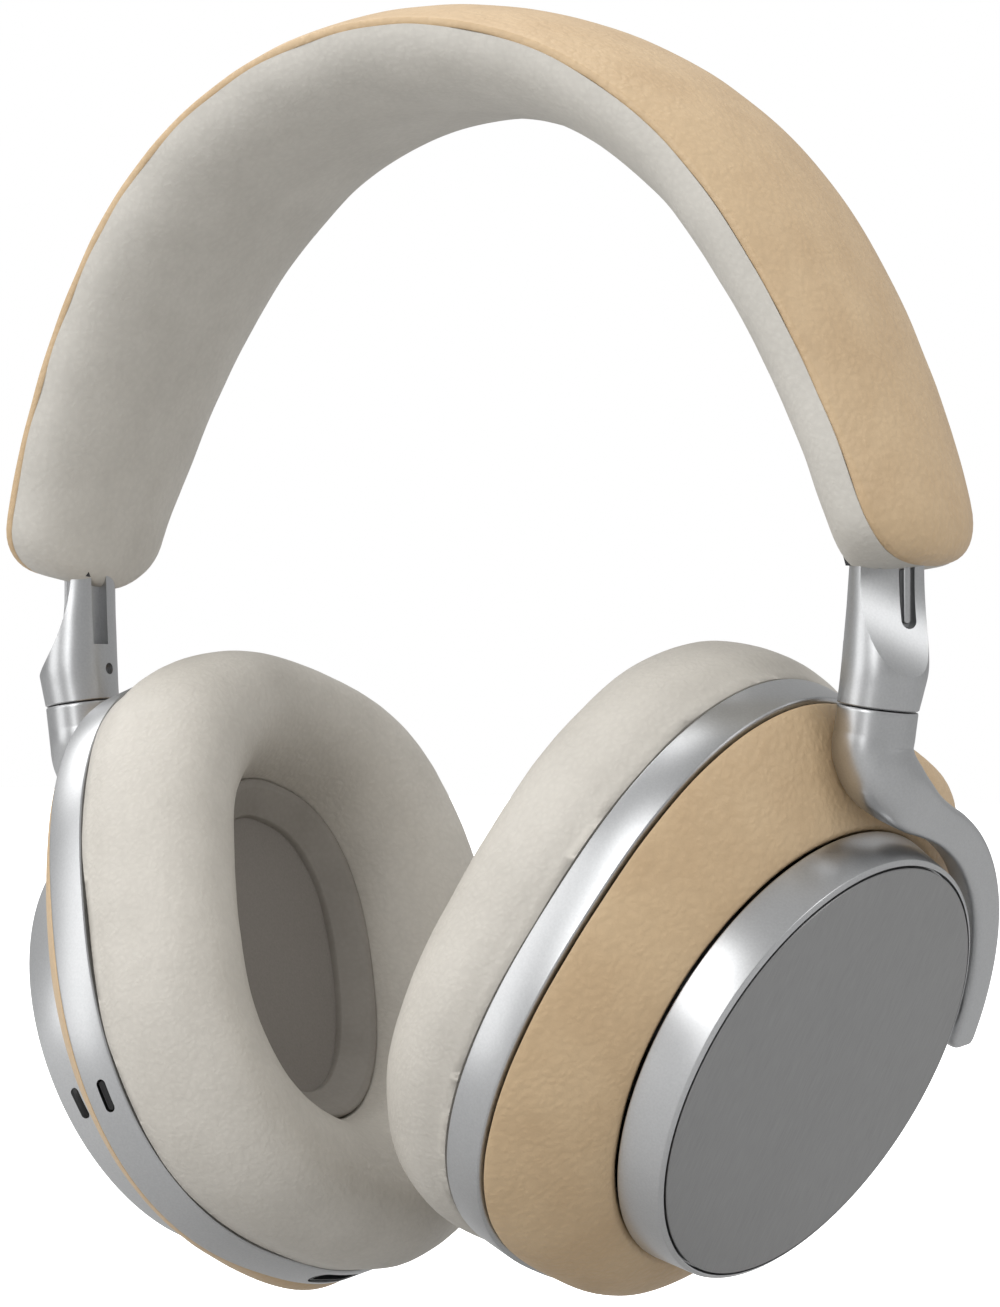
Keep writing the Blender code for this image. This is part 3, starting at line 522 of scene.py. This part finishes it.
# Headband ----------------------------------------------------------------------------------


def band_radius(angle):
    past = min(max((abs(angle) - BAND_FLARE_FROM) / BAND_FLARE_OVER, 0.0), 1.0)
    flare = BAND_FLARE * past * past * (3 - 2 * past)
    return BAND_RADIUS + flare + sum(
        size * math.cos(2 * (k + 1) * angle) for k, size in enumerate(BAND_STRETCH)
    )


def band_point(angle):
    """The seam between cover and pad at this angle from the crown."""
    radius = band_radius(angle)
    middle = SWIVEL_Z - BAND_CENTRE_DROP
    return Vector((radius * math.sin(angle), BAND_BACK, middle + radius * math.cos(angle)))


def band_place(angle, across, out):
    """The point that lies across (to the rear) and out of the seam at this angle."""
    step = 1e-3
    along = band_point(angle + step) - band_point(angle - step)
    normal = Vector((-along.z, 0, along.x)).normalized()
    return band_point(angle) + normal * out + Vector((0, across, 0))


def band_station(v, tongue_share=0.08):
    """The angle and the closing, 1 along the band and 0 at its tips, for v from 0 to 1."""
    way = 2 * v - 1
    middle = BAND_END_ANGLE - TONGUE / band_radius(BAND_END_ANGLE)
    reach = abs(way) / (1 - tongue_share)
    if reach <= 1:
        return math.copysign(middle * reach, way), 1.0
    turn = (abs(way) - (1 - tongue_share)) / tongue_share * math.pi / 2
    share = max(math.sin(turn), 0.0) ** (2 / TONGUE_POWER)
    closing = max(math.cos(turn), 0.0) ** (2 / TONGUE_POWER)
    angle = middle + (BAND_END_ANGLE - middle) * share
    return math.copysign(angle, way), closing


def band_half(angle, closing):
    return (BAND_WIDTH[0] + BAND_WIDTH[1] * math.cos(angle)) / 2 * closing


def cover_place(u, v):
    angle, closing = band_station(v)
    across, lift, top = lip(u, 14)
    edge = COVER_EDGE / 2
    crown = COVER_EDGE + COVER_CROWN * closing**0.5 * (1 - abs(across) ** 2.2)
    out = edge + (crown - edge) * lift if top else edge * (1 - lift)
    out *= TIP_SHARE + (1 - TIP_SHARE) * closing
    return band_place(angle, band_half(angle, closing) * across, out)


def pad_place(u, v):
    angle, closing = band_station(v)
    across, lift, under = lip(u, 2.3)
    lift = lift if under else 0.0
    depth = PAD_DEPTH * (PAD_TIP_SHARE + (1 - PAD_TIP_SHARE) * closing)
    half = band_half(angle, closing) + 0.1 * MM * closing
    return band_place(angle, half * across, PAD_TUCK - depth * lift)


def slide_matrix(sign):
    turn = Matrix.Rotation(-SLIDE_LEAN * sign, 4, "Y")
    return Matrix.Translation((sign * SLIDE_X, NECK_BACK, SWIVEL_Z + BAND_END_RISE)) @ turn


def make_headband(finishes):
    cover = bent_grid(96, 300, cover_place)
    made = piece("band_cover", cover, finishes["tan"], "headband", ["headband_cover"])
    crumple(made, 7 * MM, 0.10 * MM, 3)
    pad = bent_grid(96, 300, pad_place)
    made = piece("band_pad", pad, finishes["pad"], "headband", ["headband_pad"])
    # Each pocket runs well past both ends of its blade.
    pockets = []
    for sign in SIGN.values():
        size = (BLADE[0] + BLADE_ROOM, BLADE[1] + BLADE_ROOM, 60 * MM)
        pockets.append(placed(block(size, (0, 0, 10 * MM)), slide_matrix(sign)))
    cut(made, *pockets)
    crumple(made, 9 * MM, 0.30 * MM, 11)


# Arms and yokes ----------------------------------------------------------------------------


def swivel_axis(sign):
    return Vector((sign * math.sin(SWIVEL_LEAN), 0, math.cos(SWIVEL_LEAN)))


def swivel_matrix(side):
    sign = SIGN[side]
    joint = JOINTS[f"swivel_{side}"]
    turn = Matrix.Rotation(sign * YOKE_TURN[side], 4, swivel_axis(sign))
    return Matrix.Translation(joint["pos_m"]) @ turn @ Matrix.Diagonal((sign, 1, 1, 1))


def smooth_between(rows, way):
    """A row of numbers and vectors between given ones, on a curve that passes through them all."""
    last = len(rows) - 1
    i = min(int(way * last), last - 1)
    t = way * last - i
    four = [rows[max(i - 1, 0)], rows[i], rows[i + 1], rows[min(i + 2, last)]]
    weights = (
        (-t + 2 * t * t - t**3) / 2,
        (2 - 5 * t * t + 3 * t**3) / 2,
        (t + 4 * t * t - 3 * t**3) / 2,
        (-t * t + t**3) / 2,
    )
    return [
        sum((value * weight for value, weight in zip(column[1:], weights[1:])), column[0] * weights[0])
        for column in zip(*four)
    ]


def chamfered(way, steps, drop):
    """Moves a tube's first and last rings in by a hair, so that its ends have a small chamfer."""
    if way < 0.5 / steps or way > 1 - 0.5 / steps:
        return 1 - drop
    return 1.0


def arm_rows():
    """(height over the swivel joint, middle x, half thickness, half width, power), going up."""
    r = NECK_RADIUS
    return (
        (JOINT_GAP, 0.0, r, r, 2.0),
        (2.6 * MM, 0.5 * MM, r + 0.2 * MM, r + 0.2 * MM, 2.0),
        (5.2 * MM, 0.94 * MM, 6.15 * MM, 6.15 * MM, 2.0),
        (7.8 * MM, 1.05 * MM, 6.05 * MM, 6.1 * MM, 2.0),
        (11.0 * MM, 1.0 * MM, 5.8 * MM, 5.9 * MM, 2.0),
        (14.0 * MM, 0.95 * MM, 5.55 * MM, 5.7 * MM, 2.0),
        (17.4 * MM, 0.9 * MM, 5.35 * MM, 5.4 * MM, 2.05),
        (21.0 * MM, 0.9 * MM, 5.2 * MM, 5.2 * MM, 2.1),
    )


def neck_place(u, v):
    height, middle, half_thick, half_width, power = smooth_between(arm_rows(), v)
    size = chamfered(v, 60, 0.03)
    x, y = superellipse(math.tau * u, half_thick * size, half_width * size, power)
    tilt = -x * math.tan(SWIVEL_LEAN) * max(1 - 2.4 * v, 0.3)
    back = NECK_TOP_BACK * height / BAND_END_RISE
    return Vector((SWIVEL_X + middle + x, y + back, SWIVEL_Z + height + tilt))


def arm_face(turn, height):
    """Axes on the arm at this height over the joint: x out to that side, y up and z across."""
    back = NECK_TOP_BACK * height / BAND_END_RISE
    at = Matrix.Translation((SWIVEL_X, back, SWIVEL_Z + height))
    return at @ Matrix.Rotation(-turn, 4, "Z") @ Matrix.Rotation(math.pi / 2, 4, "X")


def make_arm(side, finishes):
    """The arm: a round neck with a hollow-ground face, a bar in a groove and a slot, and the blade."""
    sign = SIGN[side]
    mirror = Matrix.Diagonal((sign, 1, 1, 1))
    body = f"slider_{side}"
    neck = placed(bent_grid(72, 60, neck_place, capped=True), mirror)
    slide = mirror @ slide_matrix(1)
    made = piece(f"arm_neck_{side}", neck, finishes["satin"], body, [f"slider_arm_{side}"])
    face = arm_face(FACE_TURN, FACE_HEIGHT)
    tilted = face @ Matrix.Rotation(-FACE_SLANT, 4, "X")
    middle = tilted @ Vector((FACE_OUT + FACE_RADIUS, 0, 0))
    half = tilted.to_3x3() @ Vector((0, 0, 16 * MM))
    hollow = rod(middle - half, middle + half, FACE_RADIUS, 720)
    place = face @ Matrix.Translation((FACE_OUT, 0, -GROOVE_ALONG))
    groove = placed(pill(*GROOVE), place)
    slot_place = arm_face(SLOT_TURN, SLOT_HEIGHT) @ Matrix.Translation((SLOT_OUT, 0, 0))
    slot = placed(block(SLOT), slot_place)
    joint = mirror @ Matrix.Translation((SWIVEL_X, 0, SWIVEL_Z)) @ Matrix.Rotation(SWIVEL_LEAN, 4, "Y")
    screw_hole = rod(
        Vector((-8.0 * MM, 0, SCREW_HEIGHT)), Vector((-5.0 * MM, 0, SCREW_HEIGHT)), SCREW_HOLE_RADIUS
    )
    shapes = [placed(shape, mirror) for shape in (hollow, groove, slot)]
    cut(made, *shapes, placed(screw_hole, joint))
    bar_place = place @ Matrix.Translation((-0.5 * MM, 0, 0))
    bar = placed(pill(*BAR), bar_place)
    piece(f"arm_bar_{side}", placed(bar, mirror), finishes["satin"], body, [])
    blade = block(BLADE, (0, 0, BLADE[2] / 2 - 1.0 * MM))
    bmesh.ops.bevel(
        blade, geom=blade.edges[:], offset=0.6 * MM, segments=3, profile=0.5, affect="EDGES", material=-1
    )
    made = piece(f"arm_blade_{side}", placed(blade, slide), finishes["satin"], body, [])
    cut(made, placed(block((5 * MM, 3.4 * MM, 22 * MM), (0, 0, 15.5 * MM)), slide))


def yoke_axes():
    c, s = math.cos(YOKE_LEAN), math.sin(YOKE_LEAN)
    return Vector((c, 0, -s)), Vector((0, 1, 0)), Vector((s, 0, c))


def bezier(points, share):
    while len(points) > 1:
        points = [a.lerp(b, share) for a, b in zip(points, points[1:])]
    return points[0]


def yoke_rows():
    """(point, half width, half thickness, power) down the shank, round the bend and the arc."""
    out, back, up = yoke_axes()
    axis = swivel_axis(1)

    def arc(degrees):
        angle = math.radians(degrees)
        rear = ARC_CENTRE[0] + ARC_RADIUS * math.cos(angle)
        high = ARC_CENTRE[1] + ARC_RADIUS * math.sin(angle)
        return PIVOT_OFFSET + rear * back + high * up + ARC_RISE * math.sin(angle) * out

    shank_end = -6.0 * MM * axis
    join = arc(ARC_JOIN)
    tangent = (arc(ARC_JOIN + 1) - join).normalized()
    bend = [shank_end, shank_end - 5.8 * MM * axis, join + 9.0 * MM * tangent, join]
    path = [-JOINT_GAP * axis, shank_end * 0.6] + [bezier(bend, i / 6) for i in range(7)]
    path += [arc(ARC_JOIN + (ARC_END - ARC_JOIN) * i / 8) for i in range(1, 9)]
    rows = []
    for i, point in enumerate(path):
        share = min(max((i - SHANK_EASE[0]) / SHANK_EASE[1], 0.0), 1.0)
        share = share * share * (3 - 2 * share)
        half_width = NECK_RADIUS + (ARC_HALF[0] - NECK_RADIUS) * share
        half_thick = NECK_RADIUS + (ARC_HALF[1] - NECK_RADIUS) * min(SHANK_FLUSH * share, 1.0)
        point = point + out * (NECK_RADIUS - half_thick) * SHANK_FLUSH * (1 - share)
        rows.append((point, half_width, half_thick, 2.0 + 3.0 * share))
    return rows


def yoke_place(u, v):
    rows = yoke_rows()
    out = yoke_axes()[0]
    end = 0.02
    point, half_width, half_thick, power = smooth_between(rows, v)
    step = 0.004
    before = smooth_between(rows, max(v - step, 0))[0]
    after = smooth_between(rows, min(v + step, 1))[0]
    along = (after - before).normalized() if v > 0 else -swivel_axis(1)
    thick = (out - along * out.dot(along)).normalized()
    wide = along.cross(thick)
    size = chamfered(v, 160, 0.03)
    if v > 1 - end:
        size *= 0.45 + 0.55 * math.sqrt(max(1 - ((v - 1 + end) / end) ** 2, 0.0))
    a, b = superellipse(math.tau * u, half_width * size, half_thick * min(size * 1.3, 1.0), power)
    return point + wide * a + thick * b


def make_yoke(side, finishes):
    body = f"yoke_{side}"
    bm = placed(bent_grid(48, 160, yoke_place, capped=True), swivel_matrix(side))
    made = piece(f"yoke_{side}", bm, finishes["satin"], body, [f"yoke_arm_{side}"])
    made.data.set_sharp_from_angle(angle=math.radians(40))


# Ear cups ----------------------------------------------------------------------------------


def cup_matrix(side):
    """The cup's axes at the middle of its drum, from the tilt joint and the plate's face."""
    joint = JOINTS[f"tilt_{side}"]
    out = Vector(MOUNTS[f"end_plate_face_{side}"]["axis"]).normalized()
    rear = Vector(joint["axis"]).normalized()
    up = SIGN[side] * out.cross(rear)
    turn = Matrix((out, rear, up)).transposed().to_4x4()
    return Matrix.Translation(Vector(joint["pos_m"]) - PIVOT_RISE * up) @ turn


def oval_point(x, angle, grow=0.0, half=OVAL):
    side, up = superellipse(angle, half[0] + grow, half[1] + grow, OVAL_POWER)
    side += OVAL_CENTRE[0]
    up += OVAL_CENTRE[1] + (EAR_RISE if half == EAR else 0.0)
    c, s = math.cos(OVAL_TURN), math.sin(OVAL_TURN)
    return Vector((x, side * c + up * s, up * c - side * s))


def oval_ring(outline, steps=200, half=OVAL):
    """A ring along the oval from a closed outline of (x, grow) points."""
    count = len(outline)

    def place(u, v):
        x, grow = outline[round(u * count) % count]
        return oval_point(x, math.tau * v, grow, half)

    return bent_grid(count, steps, place)


def shell_place(u, v, shoulder):
    """The leather shell from the oval ring to the round drum, outside and back inside."""
    across, lift, outside = lip(u, 14)
    share = (1 - across) / 2
    angle = math.tau * v
    inset = SHELL_WALL / 2 * (1 - lift if outside else 1 + lift)
    oval = oval_point(0.0, angle, -0.6 * MM - inset)
    direction = math.atan2(oval.z, oval.y)
    radius = DRUM_RADIUS[0] + 0.7 * MM - inset
    circle = Vector((0.0, radius * math.cos(direction), radius * math.sin(direction)))
    under = math.exp(-(((direction + math.pi / 2) / SHELL_SWELL_SPREAD) ** 2))
    upper = math.exp(-(((direction - SHELL_SHOULDER_AT) / SHELL_SHOULDER_SPREAD) ** 2))
    point = oval.lerp(circle, share ** (1.15 + 0.35 * under))
    swell = SHELL_SWELL * under * math.sin(math.pi * share) * (1 - share)
    swell += shoulder * upper * math.sin(math.pi * share**0.6)
    point += Vector((0.0, swell * math.cos(direction), swell * math.sin(direction)))
    rise = 1 - (1 - share) ** (1.15 + 0.35 * under)
    point.x = RING_TOP + 0.4 * MM + (DRUM_BASE - 0.6 * MM - RING_TOP) * rise
    point.x -= inset / SHELL_WALL * 0.6 * MM * share
    return point


def cushion_place(u, v):
    """The cushion: an upright outer wall, a crown towards the outside and a slope to the ear."""
    angle = math.tau * v
    outer = oval_point(0.0, angle, 1.2 * MM)
    inner = oval_point(0.0, angle, half=EAR)
    turn = math.tau * u
    c, s = math.cos(turn), math.sin(turn)
    if s < 0:
        across, down = c, 0.0
    else:
        across = math.copysign(abs(c) ** (2 / 2.5), c)
        down = s ** (2 / 2.3)
    inward = (1 - across) / 2
    down *= 1 - 0.22 * inward**1.6
    # The cover is drawn in where it meets the ring, and bulges a little past it above that.
    tuck = CUSHION_TUCK * math.exp(-((down / CUSHION_TUCK_SHARE) ** 2))
    point = inner.lerp(outer, (1 + across) / 2)
    point += (inner - outer).normalized() * tuck * max(across, 0.0)
    depth = CUSHION_DEPTH * (1 + CUSHION_TOP_GAIN * math.sin(angle))
    point.x = RING_BASE - GAP - depth * down
    return point


def make_cushion(side, finishes):
    bm = bent_grid(112, 260, cushion_place)
    made = piece(
        f"ear_cushion_{side}", placed(bm, cup_matrix(side)), finishes["cushion"], f"cup_{side}",
        [f"cushion_{side}"],
    )
    crumple(made, 14 * MM, 0.40 * MM, 5 if side == "left" else 8)
    crumple(made, 3 * MM, 0.05 * MM, 2)


def make_lining(side, finishes):
    """The stepped lining inside the opening and the cloth over the driver."""
    body = f"cup_{side}"
    outline = rounded(
        (
            (RING_BASE - 0.6 * MM, 0.6 * MM, 0),
            (RING_BASE - 6.0 * MM, 0.2 * MM, 0.5 * MM),
            (RING_BASE - 5.6 * MM, -1.2 * MM, 0.5 * MM),
            (RING_BASE - 2.6 * MM, -4.6 * MM, 0.6 * MM),
            (RING_BASE - 0.6 * MM, -5.0 * MM, 0),
        )
    )
    lining = placed(oval_ring(outline, 160, EAR), cup_matrix(side))
    # Its leather is painted darker as the shade inside the opening.
    piece(f"ear_lining_{side}", lining, finishes["shaded_liner"], body, [])

    def cloth_place(u, v):
        angle = math.tau * v
        share = 1 - abs(2 * u - 1)
        edge = oval_point(0.0, angle, -3.4 * MM, half=EAR)
        middle = oval_point(0.0, 0.0, half=(0.0, 0.0))
        point = middle.lerp(edge, share)
        point.x = RING_BASE - CLOTH_BASE
        if u <= 0.5:
            point.x -= CLOTH_THICK + CLOTH_RIM_RISE * share**3
        return point

    bm = bent_grid(64, 120, cloth_place)
    made = piece(
        f"driver_cloth_{side}", placed(bm, cup_matrix(side)), finishes["cloth"], body,
        [f"ear_cloth_{side}"],
    )
    crumple(made, 8 * MM, 0.15 * MM, 4)


def on_ring(degrees, x, grow=0.0):
    """A frame on the trim ring: x out of its side, y along its edge."""
    angle = math.radians(degrees)
    step = 0.01
    at = oval_point(x, angle, grow)
    along = (oval_point(x, angle + step) - oval_point(x, angle - step)).normalized()
    face = along.cross(Vector((1, 0, 0)))
    if face.dot(at - oval_point(x, 0, half=(0.0, 0.0))) < 0:
        face.negate()
    across = face.cross(along)
    return Matrix.Translation(at) @ Matrix((face, along, across)).transposed().to_4x4()


def make_ring(side, finishes):
    """The trim ring with its cut-outs, and what sits in them."""
    cup = cup_matrix(side)
    body = f"cup_{side}"
    outline = rounded(
        (
            (RING_BASE, 0.0, 0.5 * MM),
            (RING_TOP, 0.0, 0.5 * MM),
            (RING_TOP, -RING_WALL, 0.4 * MM),
            (RING_BASE, -RING_WALL, 0.4 * MM),
        ),
        3,
    )
    ring = placed(oval_ring(outline), cup)
    made = piece(f"ring_{side}", ring, finishes["satin"], body, [f"trim_ring_{side}"])
    holes = []
    for name, degrees, length in BUTTONS[side]:
        place = cup @ on_ring(degrees, RING_MIDDLE)
        hole = pill(length * MM + 2 * GAP, KEY_HEIGHT + 2 * GAP, HOLE_DEPTH)
        holes.append(placed(hole, place))
        sunk = place @ Matrix.Translation((-KEY_INSET, 0, 0))
        key = placed(pill(length * MM, KEY_HEIGHT, KEY_DEPTH, KEY_EDGE), sunk)
        piece(f"key_{name}", key, finishes["satin"], name, [name])
    mic = cup @ on_ring(MIC_ANGLE[side], RING_MIDDLE)
    holes.append(placed(pill(*MIC_SLOT, HOLE_DEPTH), mic))
    if side == "right":
        port = cup @ on_ring(SOCKET_ANGLE, RING_MIDDLE)
        holes.append(placed(pill(*SOCKET_SLOT, HOLE_DEPTH), port))
    cut(made, *holes)


def make_drum(side, finishes):
    cup = cup_matrix(side)
    body = f"cup_{side}"
    base, top = DRUM_RADIUS
    face = PLATE_FACE
    outline = rounded(
        (
            (DRUM_BASE, base, 0.3 * MM),
            (face - 0.6 * MM, top + 0.2 * MM, 0.25 * MM),
            (face - 0.05 * MM, PLATE_RADIUS + 0.35 * MM, 0.15 * MM),
            (face - 1.6 * MM, PLATE_RADIUS + 0.3 * MM, 0.1 * MM),
            (face - 1.6 * MM, PLATE_RADIUS - 2.0 * MM, 0.1 * MM),
            (DRUM_BASE, PLATE_RADIUS - 2.0 * MM, 0.1 * MM),
        ),
        3,
    )
    drum = placed(turned(outline + outline[:1]), cup)
    made = piece(f"drum_{side}", drum, finishes["lathe"], body, [f"end_cap_{side}"])
    made.data.set_sharp_from_angle(angle=math.radians(40))
    bore = rod(Vector((0, 29, 3.5)) * MM, Vector((0, 38, 3.5)) * MM, 2.4 * MM)
    shapes = [placed(bore, cup)]
    if side == "right":
        out = Vector((0, math.cos(DRUM_MIC_ANGLE), math.sin(DRUM_MIC_ANGLE)))
        along = Vector((0, -math.sin(DRUM_MIC_ANGLE), math.cos(DRUM_MIC_ANGLE)))
        turn = Matrix((out, along, Vector((1, 0, 0)))).transposed().to_4x4()
        at = Matrix.Translation(out * (base - 0.6 * MM) + Vector((DRUM_MIC_RISE, 0, 0)))
        shapes.append(placed(pill(*DRUM_MIC_SLOT), cup @ at @ turn))
        grille_at = cup @ at @ turn @ Matrix.Translation((-0.4 * MM, 0, 0))
        grille = placed(pill(4.9 * MM, 1.4 * MM, 1.0 * MM), grille_at)
        # The grille is painted near black as shade, so that the slot looks deep.
        piece("drum_microphone", grille, finishes["slot"], body, [])
    cut(made, *shapes)
    sunk = 1.2 * MM
    plate = turned(
        (
            (face - sunk, 0.0),
            (face - sunk, PLATE_RADIUS),
            (face - 0.12 * MM, PLATE_RADIUS),
            (face, PLATE_RADIUS - 0.12 * MM),
            (face, 0.0),
        )
    )
    made = piece(
        f"plate_{side}", placed(plate, cup), finishes["plate"], body,
        [f"end_plate_{side}"],
    )
    made.data.set_sharp_from_angle(angle=math.radians(30))


def make_cup(side, finishes):
    def place(u, v):
        return shell_place(u, v, SHELL_SHOULDER[side])

    shell = placed(bent_grid(64, 200, place), cup_matrix(side))
    made = piece(
        f"leather_shell_{side}", shell, finishes["tan"], f"cup_{side}", [f"rear_shell_{side}"]
    )
    crumple(made, 6 * MM, 0.06 * MM, 9)
    make_ring(side, finishes)
    make_drum(side, finishes)
    make_cushion(side, finishes)
    make_lining(side, finishes)


# The rest of the frame, the stage, and the view --------------------------------------------

KEPT_NODES = {
    "steel": ("spring_band", "arm_screw", "pivot_pin", "swivel_shaft", "driver_basket", "radio_module"),
    "dark": ("slider_guide", "slide_stop", "pivot_bush", "baffle"),
    # Parts in small openings are painted near black as shade, so that they look deep.
    "slot": ("detent_spring", "ring_microphone", "charging_socket"),
    "cone": ("driver_cone",),
    "board": ("circuit_board",),
    "wrap": ("battery",),
}


def finish_kept_nodes(finishes):
    for key, starts in KEPT_NODES.items():
        for name, node in frame["nodes"].items():
            if name.startswith(starts):
                node.data.materials.clear()
                node.data.materials.append(finishes[key])


def make_stage():
    # It lies low enough for the cups to clear it with both sliders out.
    low = CAD_BOX[0].z - JOINTS["size_slide_left"]["range_m"][1] - 6 * MM
    bm = bmesh.new()
    bmesh.ops.create_grid(bm, x_segments=1, y_segments=1, size=3.0)
    bmesh.ops.translate(bm, vec=(0, 0, low), verts=bm.verts[:])
    mesh = bpy.data.meshes.new("floor")
    bm.to_mesh(mesh)
    bm.free()
    floor = bpy.data.objects.new("floor", mesh)
    bpy.context.scene.collection.objects.link(floor)
    # White to the eye, but grey to the light that it throws back up, as a sweep far below would be.
    paint, tree, shader = new_finish("White studio floor", roughness=0.9)
    ray = add(tree, "ShaderNodeLightPath")
    tone = add(
        tree, "ShaderNodeMixRGB", {"Color1": linear("b0b0b0"), "Color2": linear("f4f4f4")},
        {"Fac": ray.outputs["Is Camera Ray"]},
    )
    glow = add(tree, "ShaderNodeMath", {"operation": "MULTIPLY", 1: 0.9}, {0: ray.outputs["Is Camera Ray"]})
    tree.links.new(tone.outputs["Color"], shader.inputs["Base Color"])
    shader.inputs["Emission Color"].default_value = linear("ffffff")
    tree.links.new(glow.outputs["Value"], shader.inputs["Emission Strength"])
    floor.data.materials.append(paint)


def make_world():
    """White behind the object, bright where it lights soft surfaces, greyer in what metal reflects."""
    world = bpy.data.worlds.new("Studio")
    bpy.context.scene.world = world
    world.use_nodes = True
    tree = world.node_tree
    tree.nodes.remove(tree.nodes["Background"])
    white = (1, 1, 1, 1)
    seen = add(tree, "ShaderNodeBackground", {"Color": white, "Strength": 1.0})
    around = add(tree, "ShaderNodeBackground", {"Color": white, "Strength": 0.88})
    mirrored = add(tree, "ShaderNodeBackground", {"Color": white, "Strength": 0.45})
    ray = add(tree, "ShaderNodeLightPath")
    gloss = add(
        tree, "ShaderNodeMixShader", {},
        {
            "Fac": ray.outputs["Is Glossy Ray"],
            1: around.outputs["Background"],
            2: mirrored.outputs["Background"],
        },
    )
    both = add(
        tree, "ShaderNodeMixShader", {},
        {
            "Fac": ray.outputs["Is Camera Ray"],
            1: gloss.outputs["Shader"],
            2: seen.outputs["Background"],
        },
    )
    tree.links.new(both.outputs["Shader"], tree.nodes["World Output"].inputs["Surface"])


VIEW_AZIMUTH = math.radians(30.0)
VIEW_ELEVATION = math.radians(-0.29)
VIEW_DISTANCE = 0.60989
VIEW_LENS = 147.6
VIEW_SHIFT = (6.264 * MM, 7.76 * MM)  # how far the view's middle lies right of and over the joints


def view_axes():
    ca, sa = math.cos(VIEW_AZIMUTH), math.sin(VIEW_AZIMUTH)
    ce, se = math.cos(VIEW_ELEVATION), math.sin(VIEW_ELEVATION)
    return Vector((ca, sa, 0)), Vector((-sa * se, ca * se, ce)), Vector((sa * ce, -ca * ce, se))


def make_camera():
    right, up, back = view_axes()
    target = Vector((0, 0, SWIVEL_Z)) + right * VIEW_SHIFT[0] + up * VIEW_SHIFT[1]
    data = bpy.data.cameras.new("View")
    data.sensor_fit = "HORIZONTAL"
    data.sensor_width = 36.0
    data.lens = VIEW_LENS
    data.clip_start = 0.01
    camera = bpy.data.objects.new("View", data)
    bpy.context.scene.collection.objects.link(camera)
    camera.matrix_world = Matrix.Translation(target + back * VIEW_DISTANCE) @ Matrix(
        (right, up, back)
    ).transposed().to_4x4()
    bpy.context.scene.camera = camera


# Softboxes: name, place to the right, up and towards the viewer in metres, size, watts.
SOFTBOXES = (
    ("Key", (-0.55, 0.55, 0.75), (0.40, 0.60), 2.2),
    ("Left", (-0.98, 0.25, 0.25), (0.50, 1.00), 2.2),
    ("Front", (-0.55, 0.05, 0.95), (0.16, 0.90), 1.0),
    ("Right", (0.80, 0.55, 0.50), (0.30, 0.50), 1.1),
    ("Top", (-0.10, 1.00, -0.20), (0.70, 0.50), 2.4),
    ("Behind", (-0.62, 0.76, -0.38), (0.60, 0.60), 3.0),
)


def make_lights():
    right, up, back = view_axes()
    middle = Vector((0, 0, SWIVEL_Z))
    for name, place, size, power in SOFTBOXES:
        data = bpy.data.lights.new(name, "AREA")
        data.shape = "RECTANGLE"
        data.size, data.size_y = size
        data.energy = power
        light = bpy.data.objects.new(name, data)
        bpy.context.scene.collection.objects.link(light)
        at = middle + right * place[0] + up * place[1] + back * place[2]
        turn = (at - middle).to_track_quat("Z", "Y").to_matrix().to_4x4()
        light.matrix_world = Matrix.Translation(at) @ turn


def main():
    make_camera()
    finishes = make_finishes()
    finish_kept_nodes(finishes)
    make_headband(finishes)
    for side in SIGN:
        make_arm(side, finishes)
        make_yoke(side, finishes)
        make_cup(side, finishes)
    make_stage()
    make_world()
    make_lights()
    bpy.context.scene.view_settings.view_transform = "Standard"


main()
